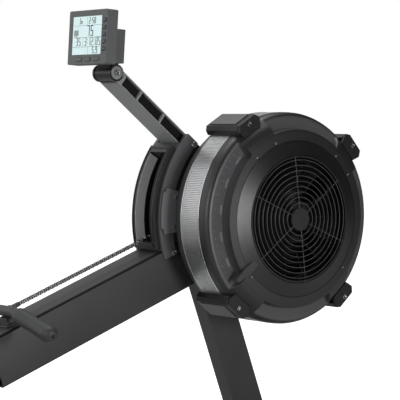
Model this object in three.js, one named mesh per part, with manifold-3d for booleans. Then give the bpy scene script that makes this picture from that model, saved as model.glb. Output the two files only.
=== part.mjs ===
// Air rowing machine: a fan in a caged drum, a sloping front beam with a chain pull,
// and a level rail with a rolling seat. Millimetres, +Z up, +X the rower's right,
// +Y forward (the drum end). The origin is on the floor under the middle of the machine.
import * as THREE from 'three';
import { mergeVertices } from 'three/addons/utils/BufferGeometryUtils.js';
import Module from 'manifold-3d';

const wasm = await Module();
wasm.setup();

// ---- Driving dimensions ----

const gap = 0.3; // between pieces that touch
const runningGap = 0.4; // between a shaft and its hole

// overall
const overallLength = 2440;
const drumAxisHeight = 600;
const frontFootWidth = 610;
const rearFootWidth = 450;

// drum: x positions run outwards along the fan's axis
const bandRadius = 272;
const bandStart = 107;
const bandEnd = 180;
const bandWall = 2;
const shellWall = 3;
const backShellStart = 61.3;
const frontFloor = 213; // front face of the pockets' floor
const coverFace = 241.8; // front face of the cover at its inner edge
const damperOuterRadius = 199.6;
const grilleRadius = 162;
const grilleFace = 253.4;
const hubCapRadius = 29.4;
const windowWallRadius = 221;
const pocketWallRadius = 229;
const coverBlockRadius = 254;

// fan and drive
const axleRadius = 8;
const fanRadius = 232;
const fanVaneCount = 16;
const sprocketRadius = 28;
const chainWidth = 11;
const chainHeight = 9;

// front beam, in its own sloping frame: u forwards along it, v square to it, from the drum's axis
const beamSlope = THREE.MathUtils.degToRad(20.3);
const beamWidth = 104;
const beamDepth = 122;
const beamTop = 25.5;
const beamFront = -95;
const beamWall = 4;
const chainAboveBeam = 32;

// front leg
const legFront = -106.5;
const legDepth = 93.5;
const legWidth = 47;

// chain case
const caseRadius = 300;
const caseWall = 3;
const throatHeight = 12; // the slot's rim above the case
const throatInset = 6; // the slot's rim inside the case's sides
const slotHalfWidth = 32;
const slotTopAngle = 147;
const slotUnderChain = 9;
const sideFrameWidth = 39;
const sideFrameWall = 6;
const guideRollerInset = 38; // the roller's centre inside the case's rim
const guideRollerRadius = 11;

// handle and its hook
const hookPostU = -735; // rear face of the post
const barRadius = 13;
const gripRadius = 20.5;
const gripStart = 62;
const gripEnd = 222;
const barStraightHalf = 35;
const gripSweep = THREE.MathUtils.degToRad(3);
const gripDroop = THREE.MathUtils.degToRad(12);

// rail and seat
const railTopHeight = 300;
const railWidth = 50;
const railDepth = 62;
const railFlange = 8;
const railWeb = 14;
const beamEndRise = 31; // the beam's rear top corner above the rail
const seatWidth = 330;
const seatLength = 240;
const seatThickness = 36;
const seatFromRailFront = 757;
const seatRollerRadius = 16;
const seatRollerSpacing = 110;

// feet
const footBarHeight = 50;
const frontFootDepth = 70;
const rearFootDepth = 50;
const footCapWall = 3;
const footCapLength = 42;
const transportWheelRadius = 26;
const transportWheelX = 200;

// foot plates
const footAngle = THREE.MathUtils.degToRad(45);
const footPlateLength = 290;
const footPlateWidth = 103;
const footPlateWall = 10;
const footPlateX = 113.5;
const footFromRailFront = 180;
const toeAboveRail = 30;
const footBarRadius = 11;

// monitor and its arm
const monitorWidth = 164;
const monitorHeight = 134;
const monitorDepth = 32;
const monitorTilt = THREE.MathUtils.degToRad(3.8);
const monitorY = -480;
const monitorZ = 457;
const pivotY = -418;
const pivotZ = 369;
const armBoltInset = 29.2; // the bolt's centre inside the case's rim
const armBoltAngle = 135.75;
const armWidth = 75;
const armDepth = 32.6;
const knuckleRadius = 21;
const cheekWall = 6;
const armBoltRadius = 6;

// ---- Values that follow from them ----

const axisY = overallLength / 2 - bandRadius;
const floorZ = -drumAxisHeight;
const rearY = -overallLength + bandRadius;
const railTop = floorZ + railTopHeight;
const railBottom = railTop - railDepth;
const chainV = beamTop + chainAboveBeam;
const beamBottom = beamTop - beamDepth;
const caseHalfWidth = beamWidth / 2;
const throatHalfWidth = caseHalfWidth - throatInset;
const throatRadius = caseRadius + throatHeight;
const sideFrameInnerRadius = caseRadius - sideFrameWidth;
const guideRollerU = guideRollerInset - caseRadius;
const slotBottomAngle = THREE.MathUtils.radToDeg(
  Math.PI + beamSlope - Math.asin((chainV - slotUnderChain) / caseRadius));
const [armBoltY, armBoltZ] = polar(caseRadius - armBoltInset, armBoltAngle);
const beamRear = (railTop + beamEndRise - beamTop * Math.cos(beamSlope)) / Math.sin(beamSlope);
const railFront = beamPoint(beamRear, beamTop)[0] - 4;
const footBarTop = floorZ + footCapWall + footBarHeight;
const armSlope = Math.atan2(pivotZ - armBoltZ, pivotY - armBoltY);
const armLength = Math.hypot(pivotZ - armBoltZ, pivotY - armBoltY);
const blockAngles = { upper_rear: 120.5, upper_front: 41, lower_front: -49, lower_rear: -129 };

// ---- Geometry helpers ----

// a point of the beam's sloping frame, as [y, z] from the drum's axis
function beamPoint(u, v) {
  const cos = Math.cos(beamSlope);
  const sin = Math.sin(beamSlope);
  return [u * cos - v * sin, u * sin + v * cos];
}

function polar(radius, degrees) {
  const angle = THREE.MathUtils.degToRad(degrees);
  return [radius * Math.cos(angle), radius * Math.sin(angle)];
}

function signedVolume(position, index) {
  const a = new THREE.Vector3();
  const b = new THREE.Vector3();
  const c = new THREE.Vector3();
  let sum = 0;
  for (let i = 0; i < index.length; i += 3) {
    a.fromArray(position, 3 * index[i]);
    b.fromArray(position, 3 * index[i + 1]);
    c.fromArray(position, 3 * index[i + 2]);
    sum += a.dot(b.cross(c));
  }
  return sum / 6;
}

function toSolid(geometry) {
  const bare = geometry.clone();
  bare.deleteAttribute('normal');
  bare.deleteAttribute('uv');
  const merged = mergeVertices(bare, 1e-4);
  const position = merged.attributes.position.array;
  const index = merged.index.array;
  const outwards = signedVolume(position, index) > 0;
  const triangles = [];
  for (let i = 0; i < index.length; i += 3) {
    const [a, b, c] = [index[i], index[i + 1], index[i + 2]];
    if (a === b || b === c || c === a) continue;
    triangles.push(a, outwards ? b : c, outwards ? c : b);
  }
  const mesh = new wasm.Mesh({
    numProp: 3,
    vertProperties: new Float32Array(position),
    triVerts: new Uint32Array(triangles),
  });
  return new wasm.Manifold(mesh);
}

function toGeometry(solid) {
  const mesh = solid.getMesh();
  const geometry = new THREE.BufferGeometry();
  geometry.setAttribute('position', new THREE.BufferAttribute(mesh.vertProperties, 3));
  geometry.setIndex(new THREE.BufferAttribute(mesh.triVerts, 1));
  return geometry;
}

function join(...pieces) {
  return toGeometry(pieces.map(toSolid).reduce((whole, piece) => whole.add(piece)));
}

function cut(body, ...tools) {
  return toGeometry(tools.map(toSolid).reduce((whole, tool) => whole.subtract(tool), toSolid(body)));
}

function box(x0, x1, y0, y1, z0, z1) {
  const geometry = new THREE.BoxGeometry(x1 - x0, y1 - y0, z1 - z0);
  return geometry.translate((x0 + x1) / 2, (y0 + y1) / 2, (z0 + z1) / 2);
}

function shapeOf(outline) {
  return outline.isShape ? outline : new THREE.Shape(outline.map(([a, b]) => new THREE.Vector2(a, b)));
}

// a flat outline in the machine's side view (y, z), made solid from x0 to x1
function sideSolid(outline, x0, x1, curveSegments = 24) {
  const options = { depth: x1 - x0, bevelEnabled: false, curveSegments };
  const geometry = new THREE.ExtrudeGeometry(shapeOf(outline), options);
  const toSide = new THREE.Matrix4().makeBasis(
    new THREE.Vector3(0, 1, 0),
    new THREE.Vector3(0, 0, 1),
    new THREE.Vector3(1, 0, 0),
  );
  return geometry.applyMatrix4(toSide).translate(x0, 0, 0);
}

// a closed outline of [x, radius] points turned about the x axis
function turned(outline, segments = 60) {
  const points = outline.map(([x, radius]) => new THREE.Vector2(radius, x));
  points.push(points[0].clone());
  return new THREE.LatheGeometry(points, segments).rotateZ(-Math.PI / 2).scale(1, -1, 1);
}

function rodX(radius, x0, x1, y = 0, z = 0, segments = 20) {
  const geometry = new THREE.CylinderGeometry(radius, radius, x1 - x0, segments);
  return geometry.rotateZ(Math.PI / 2).translate((x0 + x1) / 2, y, z);
}

// a closed outline of [along, radius] points turned about the line from one point to another
function turnedAlong(outline, from, to, segments = 20) {
  const points = outline.map(([along, radius]) => new THREE.Vector2(radius, along));
  points.push(points[0].clone());
  const direction = to.clone().sub(from).normalize();
  const turn = new THREE.Quaternion().setFromUnitVectors(new THREE.Vector3(0, 1, 0), direction);
  return new THREE.LatheGeometry(points, segments).applyQuaternion(turn).translate(from.x, from.y, from.z);
}

function rod(radius, from, to, segments = 20) {
  const length = from.distanceTo(to);
  return turnedAlong([[0, 0], [0, radius], [length, radius], [length, 0]], from, to, segments);
}

function arcPoints(radius, fromDegrees, toDegrees, count, y = 0, z = 0) {
  return Array.from({ length: count + 1 }, (_, i) => {
    const [a, b] = polar(radius, fromDegrees + ((toDegrees - fromDegrees) * i) / count);
    return [a + y, b + z];
  });
}

// an arc-shaped plate about the drum's axis
function sector(innerRadius, outerRadius, fromDegrees, toDegrees, x0, x1, count = 16) {
  const outline = [
    ...arcPoints(outerRadius, fromDegrees, toDegrees, count),
    ...arcPoints(innerRadius, toDegrees, fromDegrees, count),
  ];
  return sideSolid(outline, x0, x1);
}

// a strip of even thickness along a row of points
function ribbonOutline(points, halfThickness) {
  const left = [];
  const right = [];
  points.forEach((point, i) => {
    const before = points[Math.max(i - 1, 0)];
    const after = points[Math.min(i + 1, points.length - 1)];
    const length = Math.hypot(after[0] - before[0], after[1] - before[1]);
    const normal = [-(after[1] - before[1]) / length, (after[0] - before[0]) / length];
    left.push([point[0] + normal[0] * halfThickness, point[1] + normal[1] * halfThickness]);
    right.unshift([point[0] - normal[0] * halfThickness, point[1] - normal[1] * halfThickness]);
  });
  return [...left, ...right];
}

function roundedRectangle(halfWidth, halfLength, radius) {
  const shape = new THREE.Shape();
  shape.moveTo(-halfWidth + radius, -halfLength);
  shape.absarc(halfWidth - radius, -halfLength + radius, radius, -Math.PI / 2, 0);
  shape.absarc(halfWidth - radius, halfLength - radius, radius, 0, Math.PI / 2);
  shape.absarc(-halfWidth + radius, halfLength - radius, radius, Math.PI / 2, Math.PI);
  shape.absarc(-halfWidth + radius, -halfLength + radius, radius, Math.PI, 1.5 * Math.PI);
  return shape;
}

// ---- Materials ----

function finish(color, roughness, metalness) {
  return new THREE.MeshStandardMaterial({ color, roughness, metalness, flatShading: true });
}

const blackPaint = finish(0x2e2e30, 0.45, 0.2);
const blackPlastic = finish(0x29292b, 0.55, 0);
const darkPlastic = finish(0x1b1b1d, 0.5, 0);
const greyPlastic = finish(0x5a5c5d, 0.5, 0);
const silverMesh = finish(0xa9abad, 0.3, 1);
const rawAluminium = finish(0xb4b7ba, 0.35, 1);
const steel = finish(0x8e9194, 0.3, 1);
const rubber = finish(0x202021, 0.85, 0);
const webbing = finish(0x242426, 0.9, 0);
const padding = finish(0x262628, 0.7, 0);
const liquidCrystal = finish(0xdff3f2, 0.15, 0);

// ---- Assembly tree: the machine group has the drum's axis as its origin ----

const group = new THREE.Group();
const machine = new THREE.Group();
machine.position.set(0, axisY, drumAxisHeight);
group.add(machine);

const beamFrame = new THREE.Group();
beamFrame.rotation.x = beamSlope;
machine.add(beamFrame);

const armFrame = new THREE.Group();
armFrame.position.set(0, armBoltY, armBoltZ);
armFrame.rotation.x = armSlope;
machine.add(armFrame);

const monitorFrame = new THREE.Group();
monitorFrame.position.set(0, monitorY, monitorZ);
monitorFrame.rotation.x = -monitorTilt;
machine.add(monitorFrame);

const footFrameOrigin = new THREE.Group();
footFrameOrigin.position.set(0, railFront - footFromRailFront, railTop + toeAboveRail);
footFrameOrigin.rotation.x = footAngle;
machine.add(footFrameOrigin);

function add(parent, name, geometry, material) {
  const mesh = new THREE.Mesh(toGeometry(toSolid(geometry)), material);
  mesh.name = name;
  parent.add(mesh);
}

// ---- Frame ----

// welded box beam with an end plate and a yoke that carries the fan's axle
function mainBeam() {
  const half = beamWidth / 2;
  const tube = box(-half, half, beamRear, beamFront, beamBottom, beamTop);
  const inside = half - beamWall;
  const endPlate = 6;
  const bore = box(-inside, inside, beamRear - 1, beamFront - endPlate,
    beamBottom + beamWall, beamTop - beamWall);
  const chainWindow = box(-26, 26, beamFront - endPlate - 1, beamFront + 1, -62, -8);
  const yoke = [-1, 1].map((side) => {
    const inner = side * 30;
    const outer = side * 38;
    const [x0, x1] = [Math.min(inner, outer), Math.max(inner, outer)];
    const outline = [[beamFront - 1, -70], ...arcPoints(20, -70, 80, 10), [beamFront - 1, 22]];
    return sideSolid(outline, x0, x1);
  });
  const axleBore = rodX(axleRadius + runningGap, -60, 60);
  return cut(join(cut(tube, bore, chainWindow), ...yoke), axleBore);
}

// one upright tube square to the beam, with a flange on the foot bar
function frontLeg() {
  const bottom = footBarTop + gap;
  const at = (u) => {
    const v = (bottom - u * Math.sin(beamSlope)) / Math.cos(beamSlope);
    return beamPoint(u, v);
  };
  const rear = legFront - legDepth;
  const top = beamBottom - gap;
  const tube = sideSolid([beamPoint(rear, top), at(rear), at(legFront), beamPoint(legFront, top)],
    -legWidth / 2, legWidth / 2);
  const flangeWall = 8;
  const flange = box(-45, 45, at(rear)[0] - 6, at(legFront)[0] + 6, bottom, bottom + flangeWall);
  return join(tube, flange);
}

function frontFootY() {
  const middle = legFront - legDepth / 2;
  const v = (footBarTop - middle * Math.sin(beamSlope)) / Math.cos(beamSlope);
  return beamPoint(middle, v)[0];
}

const frontFootCentre = frontFootY();
const rearFootCentre = rearY + rearFootDepth / 2 + footCapWall;
const wheelY = frontFootCentre + frontFootDepth / 2 + transportWheelRadius + 4;
const wheelZ = floorZ + transportWheelRadius + 4;

function footBar(width, depth, centreY) {
  const half = width / 2 - footCapWall - gap;
  return box(-half, half, centreY - depth / 2, centreY + depth / 2, footBarTop - footBarHeight, footBarTop);
}

// foot bar with a pair of ears for each transport wheel
function frontFootBar() {
  const earWall = 5;
  const wheelHalf = 11;
  const ears = [];
  for (const side of [-1, 1]) {
    for (const step of [-1, 1]) {
      const x = side * transportWheelX + step * (wheelHalf + 1 + earWall / 2);
      const outline = [
        [frontFootCentre + frontFootDepth / 2 - 1, footBarTop - 8],
        [frontFootCentre + frontFootDepth / 2 - 1, footBarTop - footBarHeight + 6],
        ...arcPoints(10, -90, 90, 8, wheelY, wheelZ),
      ];
      ears.push(cut(sideSolid(outline, x - earWall / 2, x + earWall / 2),
        rodX(4 + runningGap, x - earWall, x + earWall, wheelY, wheelZ)));
    }
  }
  return join(footBar(frontFootWidth, frontFootDepth, frontFootCentre), ...ears);
}

function transportWheel(side) {
  const x = side * transportWheelX;
  const tyre = rodX(transportWheelRadius, x - 11, x + 11, wheelY, wheelZ, 32);
  const pin = rodX(4, x - 19, x + 19, wheelY, wheelZ);
  return join(tyre, pin);
}

// a rubber sleeve with a closed end over each end of a foot bar
function footCap(side, width, depth, centreY) {
  const outerX = width / 2;
  const grip = footCapWall;
  const z0 = floorZ;
  const z1 = footBarTop + grip;
  const [x0, x1] = side > 0 ? [outerX - footCapLength, outerX] : [-outerX, -outerX + footCapLength];
  const [b0, b1] = side > 0 ? [x0 - 1, outerX - grip] : [-outerX + grip, x1 + 1];
  const half = depth / 2;
  const sleeve = box(x0, x1, centreY - half - grip, centreY + half + grip, z0, z1);
  const bore = box(b0, b1, centreY - half - gap, centreY + half + gap,
    z0 + grip - gap, footBarTop + gap);
  return cut(sleeve, bore);
}

// a foot bar and its two moulded ends in one
function rearFootBar() {
  const half = rearFootWidth / 2;
  const grip = footCapWall;
  const depth = rearFootDepth / 2;
  const bar = footBar(rearFootWidth, rearFootDepth, rearFootCentre);
  const ends = [[-half, -half + footCapLength], [half - footCapLength, half]].map(([x0, x1]) => (
    box(x0, x1, rearFootCentre - depth - grip, rearFootCentre + depth + grip, floorZ, footBarTop + grip)));
  return join(bar, ...ends);
}

const railEnd = rearFootCentre + 20;

function rearLeg() {
  const top = railBottom - gap;
  const bottom = footBarTop + gap;
  const centre = rearFootCentre;
  const outline = [[centre - 22, bottom], [centre + 22, bottom], [centre + 92, top], [centre + 30, top]];
  return sideSolid(outline, -22, 22);
}

// extruded monorail with two flanges and a web
function seatRail() {
  const half = railWidth / 2;
  const web = railWeb / 2;
  const outline = [
    [-half, railBottom], [half, railBottom], [half, railBottom + railFlange], [web, railBottom + railFlange],
    [web, railTop - railFlange], [half, railTop - railFlange], [half, railTop], [-half, railTop],
    [-half, railTop - railFlange], [-web, railTop - railFlange], [-web, railBottom + railFlange],
    [-half, railBottom + railFlange],
  ];
  const options = { depth: railFront - railEnd, bevelEnabled: false };
  const geometry = new THREE.ExtrudeGeometry(shapeOf(outline), options);
  return geometry.rotateX(Math.PI / 2).translate(0, railFront, 0);
}

// sleeve that bolts the rail's front end to the beam's rear end
function railBracket() {
  const wall = 8;
  const rear = railFront - 100;
  const block = sideSolid([
    beamPoint(beamRear - gap, beamTop), beamPoint(beamRear - gap, beamBottom),
    [rear, railBottom - wall], [rear, railTop + wall],
  ], -38, 38);
  const rail = box(-railWidth / 2 - gap, railWidth / 2 + gap, rear - 1, railFront + gap,
    railBottom - gap, railTop + gap);
  return cut(block, rail);
}

function railEndStop() {
  return box(-33, 33, railEnd - 14, railEnd - gap, railBottom - 6, railTop + 8);
}

// ---- Chain case ----

const sideFrameTopAngle = 133.8;

// a point s along the arm from its bolt towards the monitor, and n above the arm's middle
function armPoint(s, n) {
  const [cos, sin] = [Math.cos(armSlope), Math.sin(armSlope)];
  return [armBoltY + s * cos + n * sin, armBoltZ + s * sin - n * cos];
}

const mouthDrop = 3; // the case's open top lies this far under the arm's top face

// the case's side outline; it is open above the arm and where it meets the beam's front end
function caseOutline(inset, lift) {
  const radius = caseRadius - inset;
  const floorV = beamTop + gap + inset;
  const slope = THREE.MathUtils.radToDeg(beamSlope);
  const bottomAngle = 180 - THREE.MathUtils.radToDeg(Math.asin(floorV / radius)) + slope;
  const front = beamFront + gap - lift;
  const nose = 64 - inset;
  return [
    armPoint(-20, armDepth / 2 - mouthDrop + lift),
    armPoint(28 - inset, armDepth / 2 - mouthDrop + lift),
    ...arcPoints(radius, sideFrameTopAngle + 0.6, bottomAngle, 20),
    beamPoint(front, floorV),
    beamPoint(front, -80 + inset),
    ...arcPoints(nose + 8, -60 + slope, 40 + slope, 8),
  ];
}

function caseSolid() {
  const half = caseHalfWidth;
  const inside = half - caseWall;
  const shell = cut(
    sideSolid(caseOutline(0, 0), -half, half),
    sideSolid(caseOutline(caseWall, 30), -inside, inside),
  );
  const throat = throatHalfWidth + gap;
  const throatCut = sector(caseRadius - 22, throatRadius + 10, slotTopAngle - 4, slotBottomAngle + 3.4,
    -throat, throat);
  const armSweep = rodX(30, -throat, throat, armBoltY, armBoltZ, 32);
  const under = -armDepth / 2 - 2;
  const armSlot = sideSolid([armPoint(-10, under), armPoint(140, under), armPoint(140, armDepth),
    armPoint(-10, armDepth)], -throat, throat);
  const boltHole = rodX(armBoltRadius + runningGap, -half - 1, half + 1, armBoltY, armBoltZ);
  const axleHole = rodX(14, 0, half + 1, 0, 0);
  const [rollerY, rollerZ] = beamPoint(guideRollerU, guideRollerV);
  const rollerHole = rodX(4 + runningGap, -half - 1, half + 1, rollerY, rollerZ);
  return cut(shell, throatCut, armSweep, armSlot, boltHole, axleHole, rollerHole);
}

const guideRollerV = chainV - chainHeight / 2 - gap - guideRollerRadius;

function chainCaseHalf(side) {
  const far = 2 * caseRadius;
  const [x0, x1] = side > 0 ? [-far, gap / 2] : [-gap / 2, far];
  return cut(caseSolid(), box(x0, x1, -far, far, -far, far));
}

// the raised rim of the long slot that the chain comes out of
function throatFrame() {
  const frame = sector(caseRadius - 20, throatRadius, slotTopAngle - 3.7, slotBottomAngle + 3.1,
    -throatHalfWidth, throatHalfWidth);
  const slot = sector(caseRadius - 40, throatRadius + 20, slotTopAngle, slotBottomAngle,
    -slotHalfWidth, slotHalfWidth);
  return cut(frame, slot);
}

// a curved strap from the beam's side up to the arm's bolt
function sideFrame(side) {
  const slope = THREE.MathUtils.radToDeg(beamSlope);
  const bottom = 180 + slope - 0.6;
  const outline = [
    ...arcPoints(caseRadius, sideFrameTopAngle, bottom, 22),
    ...arcPoints(sideFrameInnerRadius, bottom, 132.7, 22),
  ];
  const inner = caseHalfWidth + gap;
  const outer = inner + sideFrameWall;
  const [x0, x1] = side > 0 ? [inner, outer] : [-outer, -inner];
  return cut(sideSolid(outline, x0, x1),
    rodX(armBoltRadius + runningGap, x0 - 1, x1 + 1, armBoltY, armBoltZ));
}

// ---- Drum ----

// rear half of the drum with the lug that bolts it to the side frame
function drumBackShell() {
  const rim = bandRadius - 3.5;
  const start = backShellStart;
  const end = bandStart - gap;
  const hole = 18;
  const shell = turned([
    [start, hole], [start, rim - 22], [start + 9, rim - 10], [start + 23, rim - 3], [end, rim],
    [end, rim - shellWall], [start + 24, rim - 3 - shellWall], [start + 11, rim - 13],
    [start + shellWall, rim - 24], [start + shellWall, hole],
  ]);
  const outline = [
    ...arcPoints(caseRadius - 1, 166, 184.6, 8),
    ...arcPoints(caseRadius - 8, 186.6, 187.6, 2),
    ...arcPoints(rim - 34, 188, 163.4, 8),
    ...arcPoints(caseRadius - 8, 163.4, 164.2, 2),
  ];
  const lugStart = caseHalfWidth + gap + sideFrameWall + gap;
  return join(shell, sideSolid(outline, lugStart, start + 1));
}

function perforatedBand() {
  const inner = bandRadius - bandWall;
  return turned([[bandStart, inner], [bandStart, bandRadius], [bandEnd, bandRadius], [bandEnd, inner]]);
}

// front half of the drum: a rounded rim and the flat floor of the pockets
function drumFrontShell() {
  const start = bandEnd + gap;
  const face = frontFloor;
  const wall = shellWall;
  const inner = grilleRadius - 12;
  return turned([
    [start, bandRadius], [face - 13, bandRadius], [face - 5, bandRadius - 3.5], [face - 0.6, bandRadius - 10],
    [face, bandRadius - 20], [face, inner], [face - wall, inner], [face - wall, bandRadius - 21],
    [face - wall - 1.5, bandRadius - 13], [face - 14, bandRadius - wall], [start, bandRadius - wall],
  ]);
}

// the front cover: a ring with four blocks between its pockets
function frontCover() {
  const back = frontFloor + gap;
  const inner = damperOuterRadius + 0.6;
  const ring = turned([
    [back, inner], [coverFace, inner], [coverFace - 3.3, windowWallRadius + 1],
    [coverFace - 8, coverBlockRadius - 16], [coverFace - 20, coverBlockRadius], [back, coverBlockRadius],
  ]);
  const pocket = (radius, from, to) => sector(radius, 300, from, to, back - 2, coverFace + 10);
  return cut(ring,
    pocket(windowWallRadius, 132, 220),
    pocket(pocketWallRadius, 52.4, 108.6),
    pocket(pocketWallRadius, -38, 30),
    pocket(pocketWallRadius, -117, -60));
}

// turning cone with its lever, which sets how much air the fan takes in
function damperRing() {
  const leverAngle = 216.3;
  const back = 236;
  const inner = grilleRadius + 1;
  const cone = turned([
    [back, inner], [back, damperOuterRadius], [coverFace, damperOuterRadius], [grilleFace, inner],
  ]);
  const [halfRoot, halfTip] = [17, 8];
  const lever = sideSolid([
    [inner + 3, -halfRoot + 4], [damperOuterRadius, -halfRoot], [windowWallRadius + 4, -halfTip - 2],
    [250, -halfTip], [250, halfTip], [windowWallRadius + 4, halfTip + 2], [damperOuterRadius, halfRoot],
    [inner + 3, halfRoot - 4],
  ], coverFace + 0.5, coverFace + 8);
  const tip = box(frontFloor + 2, coverFace + 2, windowWallRadius + 4, 250, -halfTip, halfTip);
  const turn = THREE.MathUtils.degToRad(leverAngle);
  return join(cone, join(lever, tip).rotateX(turn));
}

// wire grille on a short tube, with the cap that carries the axle's front end
function intakeGrille() {
  const wire = 3;
  const depth = 5;
  const tube = turned([
    [frontFloor + gap, grilleRadius - 5], [frontFloor + gap, grilleRadius],
    [grilleFace, grilleRadius], [grilleFace, grilleRadius - 5],
  ], 48);
  const capFace = grilleFace + 2.2;
  const cap = rodX(hubCapRadius, 238, capFace, 0, 0, 32);
  const rings = [0.34, 0.5, 0.66, 0.83].map((share) => {
    const radius = share * grilleRadius;
    const [x0, x1] = [grilleFace - depth, grilleFace];
    return turned([[x0, radius - wire], [x0, radius], [x1, radius], [x1, radius - wire]], 32);
  });
  const spokes = Array.from({ length: 6 }, (_, i) => (
    box(grilleFace - depth - 1, grilleFace - 1, -wire / 2, wire / 2, 10, grilleRadius - 2)
      .rotateX((i * Math.PI) / 3)));
  const socket = rodX(axleRadius + runningGap, 230, 249, 0, 0);
  return cut(join(tube, cap, ...rings, ...spokes), socket);
}

// a clamp over the rim, built at the top and turned to its place
function rimClamp(degrees) {
  const outer = 293;
  const rim = bandRadius + 0.6;
  const face = frontFloor + 0.8;
  const bridge = [[-38, 255], [38, 255], [38, outer - 10], [30, outer], [-30, outer], [-38, outer - 10]];
  const lug = [[-30, 257], [30, 257], [38, outer - 14], [28, outer], [-28, outer], [-38, outer - 14]];
  const rimCut = rodX(rim, 60, face, 0, 0, 96);
  const overRim = cut(sideSolid(bridge, bandStart - 18, face), rimCut);
  const whole = join(overRim, sideSolid(lug, face - 1, face + 7));
  return cut(whole, rimCut).rotateX(THREE.MathUtils.degToRad(degrees - 90));
}

// ---- Fan and drive ----

function flywheel() {
  const hub = rodX(34, 98, 204, 0, 0, 32);
  const disc = rodX(fanRadius, 112, 116, 0, 0, 48);
  const vanes = Array.from({ length: fanVaneCount }, (_, i) => (
    box(115, 196, -1.5, 1.5, 96, fanRadius - 2).rotateX((2 * Math.PI * i) / fanVaneCount)));
  const bore = rodX(axleRadius + gap, 90, 210, 0, 0);
  return cut(join(hub, disc, ...vanes), bore);
}

function flywheelAxle() {
  return rodX(axleRadius, throatInset - caseHalfWidth, 248);
}

function driveSprocket() {
  const teeth = 14;
  const outline = Array.from({ length: teeth * 2 }, (_, i) => (
    polar(i % 2 ? sprocketRadius - 5 : sprocketRadius, (i * 180) / teeth)));
  const collar = rodX(15, -14, 14, 0, 0);
  return cut(join(sideSolid(outline, -3.5, 3.5), collar), rodX(axleRadius + runningGap, -20, 20));
}

function guideRoller() {
  const wheel = rodX(guideRollerRadius, -9, 9, 0, 0, 24);
  const pin = rodX(4, 1 - caseHalfWidth, caseHalfWidth - 1);
  return join(wheel, pin).translate(0, guideRollerU, guideRollerV);
}

// the hidden stretch of chain: from the guide roller over the sprocket and back into the beam
function driveChain() {
  const wrap = sprocketRadius + chainHeight / 2 + gap;
  const points = [[guideRollerU + 2, chainV], ...arcPoints(wrap, 84, -90, 16), [-250, -wrap]];
  return sideSolid(ribbonOutline(points, chainHeight / 2), -chainWidth / 2, chainWidth / 2);
}

const handleU = hookPostU - runningGap - barRadius;
const eyeEnd = handleU + 40;

// the free stretch of chain, from the handle's eye to the guide roller
function pullChain() {
  return box(-chainWidth / 2, chainWidth / 2, eyeEnd + gap, guideRollerU + 1,
    chainV - chainHeight / 2, chainV + chainHeight / 2);
}

// ---- Handle and hook ----

function gripDirection(side) {
  const direction = new THREE.Vector3(side, -Math.tan(gripSweep), -Math.tan(gripDroop));
  return direction.applyAxisAngle(new THREE.Vector3(1, 0, 0), -beamSlope);
}

function gripPoint(side, x) {
  const bend = new THREE.Vector3(side * barStraightHalf, handleU, chainV);
  return bend.addScaledVector(gripDirection(side), x - barStraightHalf);
}

// bent steel bar with the eye that the chain hooks into
function handleBar() {
  const middle = rodX(barRadius, -barStraightHalf, barStraightHalf, handleU, chainV);
  const bends = [-1, 1].map((side) => {
    const elbow = gripPoint(side, barStraightHalf);
    return new THREE.SphereGeometry(barRadius, 12, 8).translate(elbow.x, elbow.y, elbow.z);
  });
  const ends = [-1, 1].map((side) => (
    rod(barRadius, gripPoint(side, barStraightHalf), gripPoint(side, gripEnd - 8))));
  const eye = rod(6, new THREE.Vector3(0, handleU, chainV), new THREE.Vector3(0, eyeEnd, chainV), 16);
  return join(middle, ...bends, ...ends, eye);
}

function handleGrip(side) {
  const from = gripPoint(side, gripStart);
  const to = gripPoint(side, gripEnd);
  const length = from.distanceTo(to);
  const boreEnd = length - 8;
  const bore = barRadius + gap;
  return turnedAlong([
    [0, bore], [0, gripRadius - 2], [3, gripRadius], [length - 10, gripRadius], [length - 3, gripRadius - 4],
    [length, gripRadius - 11], [length, 0], [boreEnd, 0], [boreEnd, bore],
  ], from, to, 24);
}

// base plate, cradle and notched post on top of the beam
function handleHook() {
  const base = box(-30, 30, hookPostU - 40, hookPostU + 20, beamTop + gap, beamTop + 4);
  const post = new THREE.Shape([
    [-22, beamTop + 3], [22, beamTop + 3], [16, chainV + 4], [-16, chainV + 4],
  ].map(([x, v]) => new THREE.Vector2(x, v)));
  const postSolid = new THREE.ExtrudeGeometry(post, { depth: 11, bevelEnabled: false })
    .rotateX(Math.PI / 2).translate(0, hookPostU + 11, 0);
  const cradle = box(-17, 17, hookPostU - 28, hookPostU + 1, beamTop + 3, chainV - barRadius - runningGap);
  const notch = box(-8.5, 8.5, hookPostU - 1, hookPostU + 12, chainV - 8, chainV + 20);
  return cut(join(base, postSolid, cradle), notch);
}

// ---- Seat ----

const seatY = railFront - seatFromRailFront;
const rollerZ = railTop + gap + seatRollerRadius;
const carriageTop = rollerZ + seatRollerRadius + 6;

function seatRoller(step) {
  const y = seatY + (step * seatRollerSpacing) / 2;
  return join(rodX(seatRollerRadius, -20, 20, y, rollerZ, 32), rodX(5, -37, 37, y, rollerZ));
}

// folded steel carriage over the rail
function seatCarriage() {
  const length = seatRollerSpacing / 2 + 28;
  const plate = box(-60, 60, seatY - length, seatY + length, carriageTop - 4, carriageTop);
  const sides = [-1, 1].map((side) => {
    const [x0, x1] = side > 0 ? [29, 34] : [-34, -29];
    return box(x0, x1, seatY - length, seatY + length, railTop - railFlange - 22, carriageTop - 3);
  });
  const holes = [-1, 1].map((step) => (
    rodX(5 + runningGap, -40, 40, seatY + (step * seatRollerSpacing) / 2, rollerZ)));
  return cut(join(plate, ...sides), ...holes);
}

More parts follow.
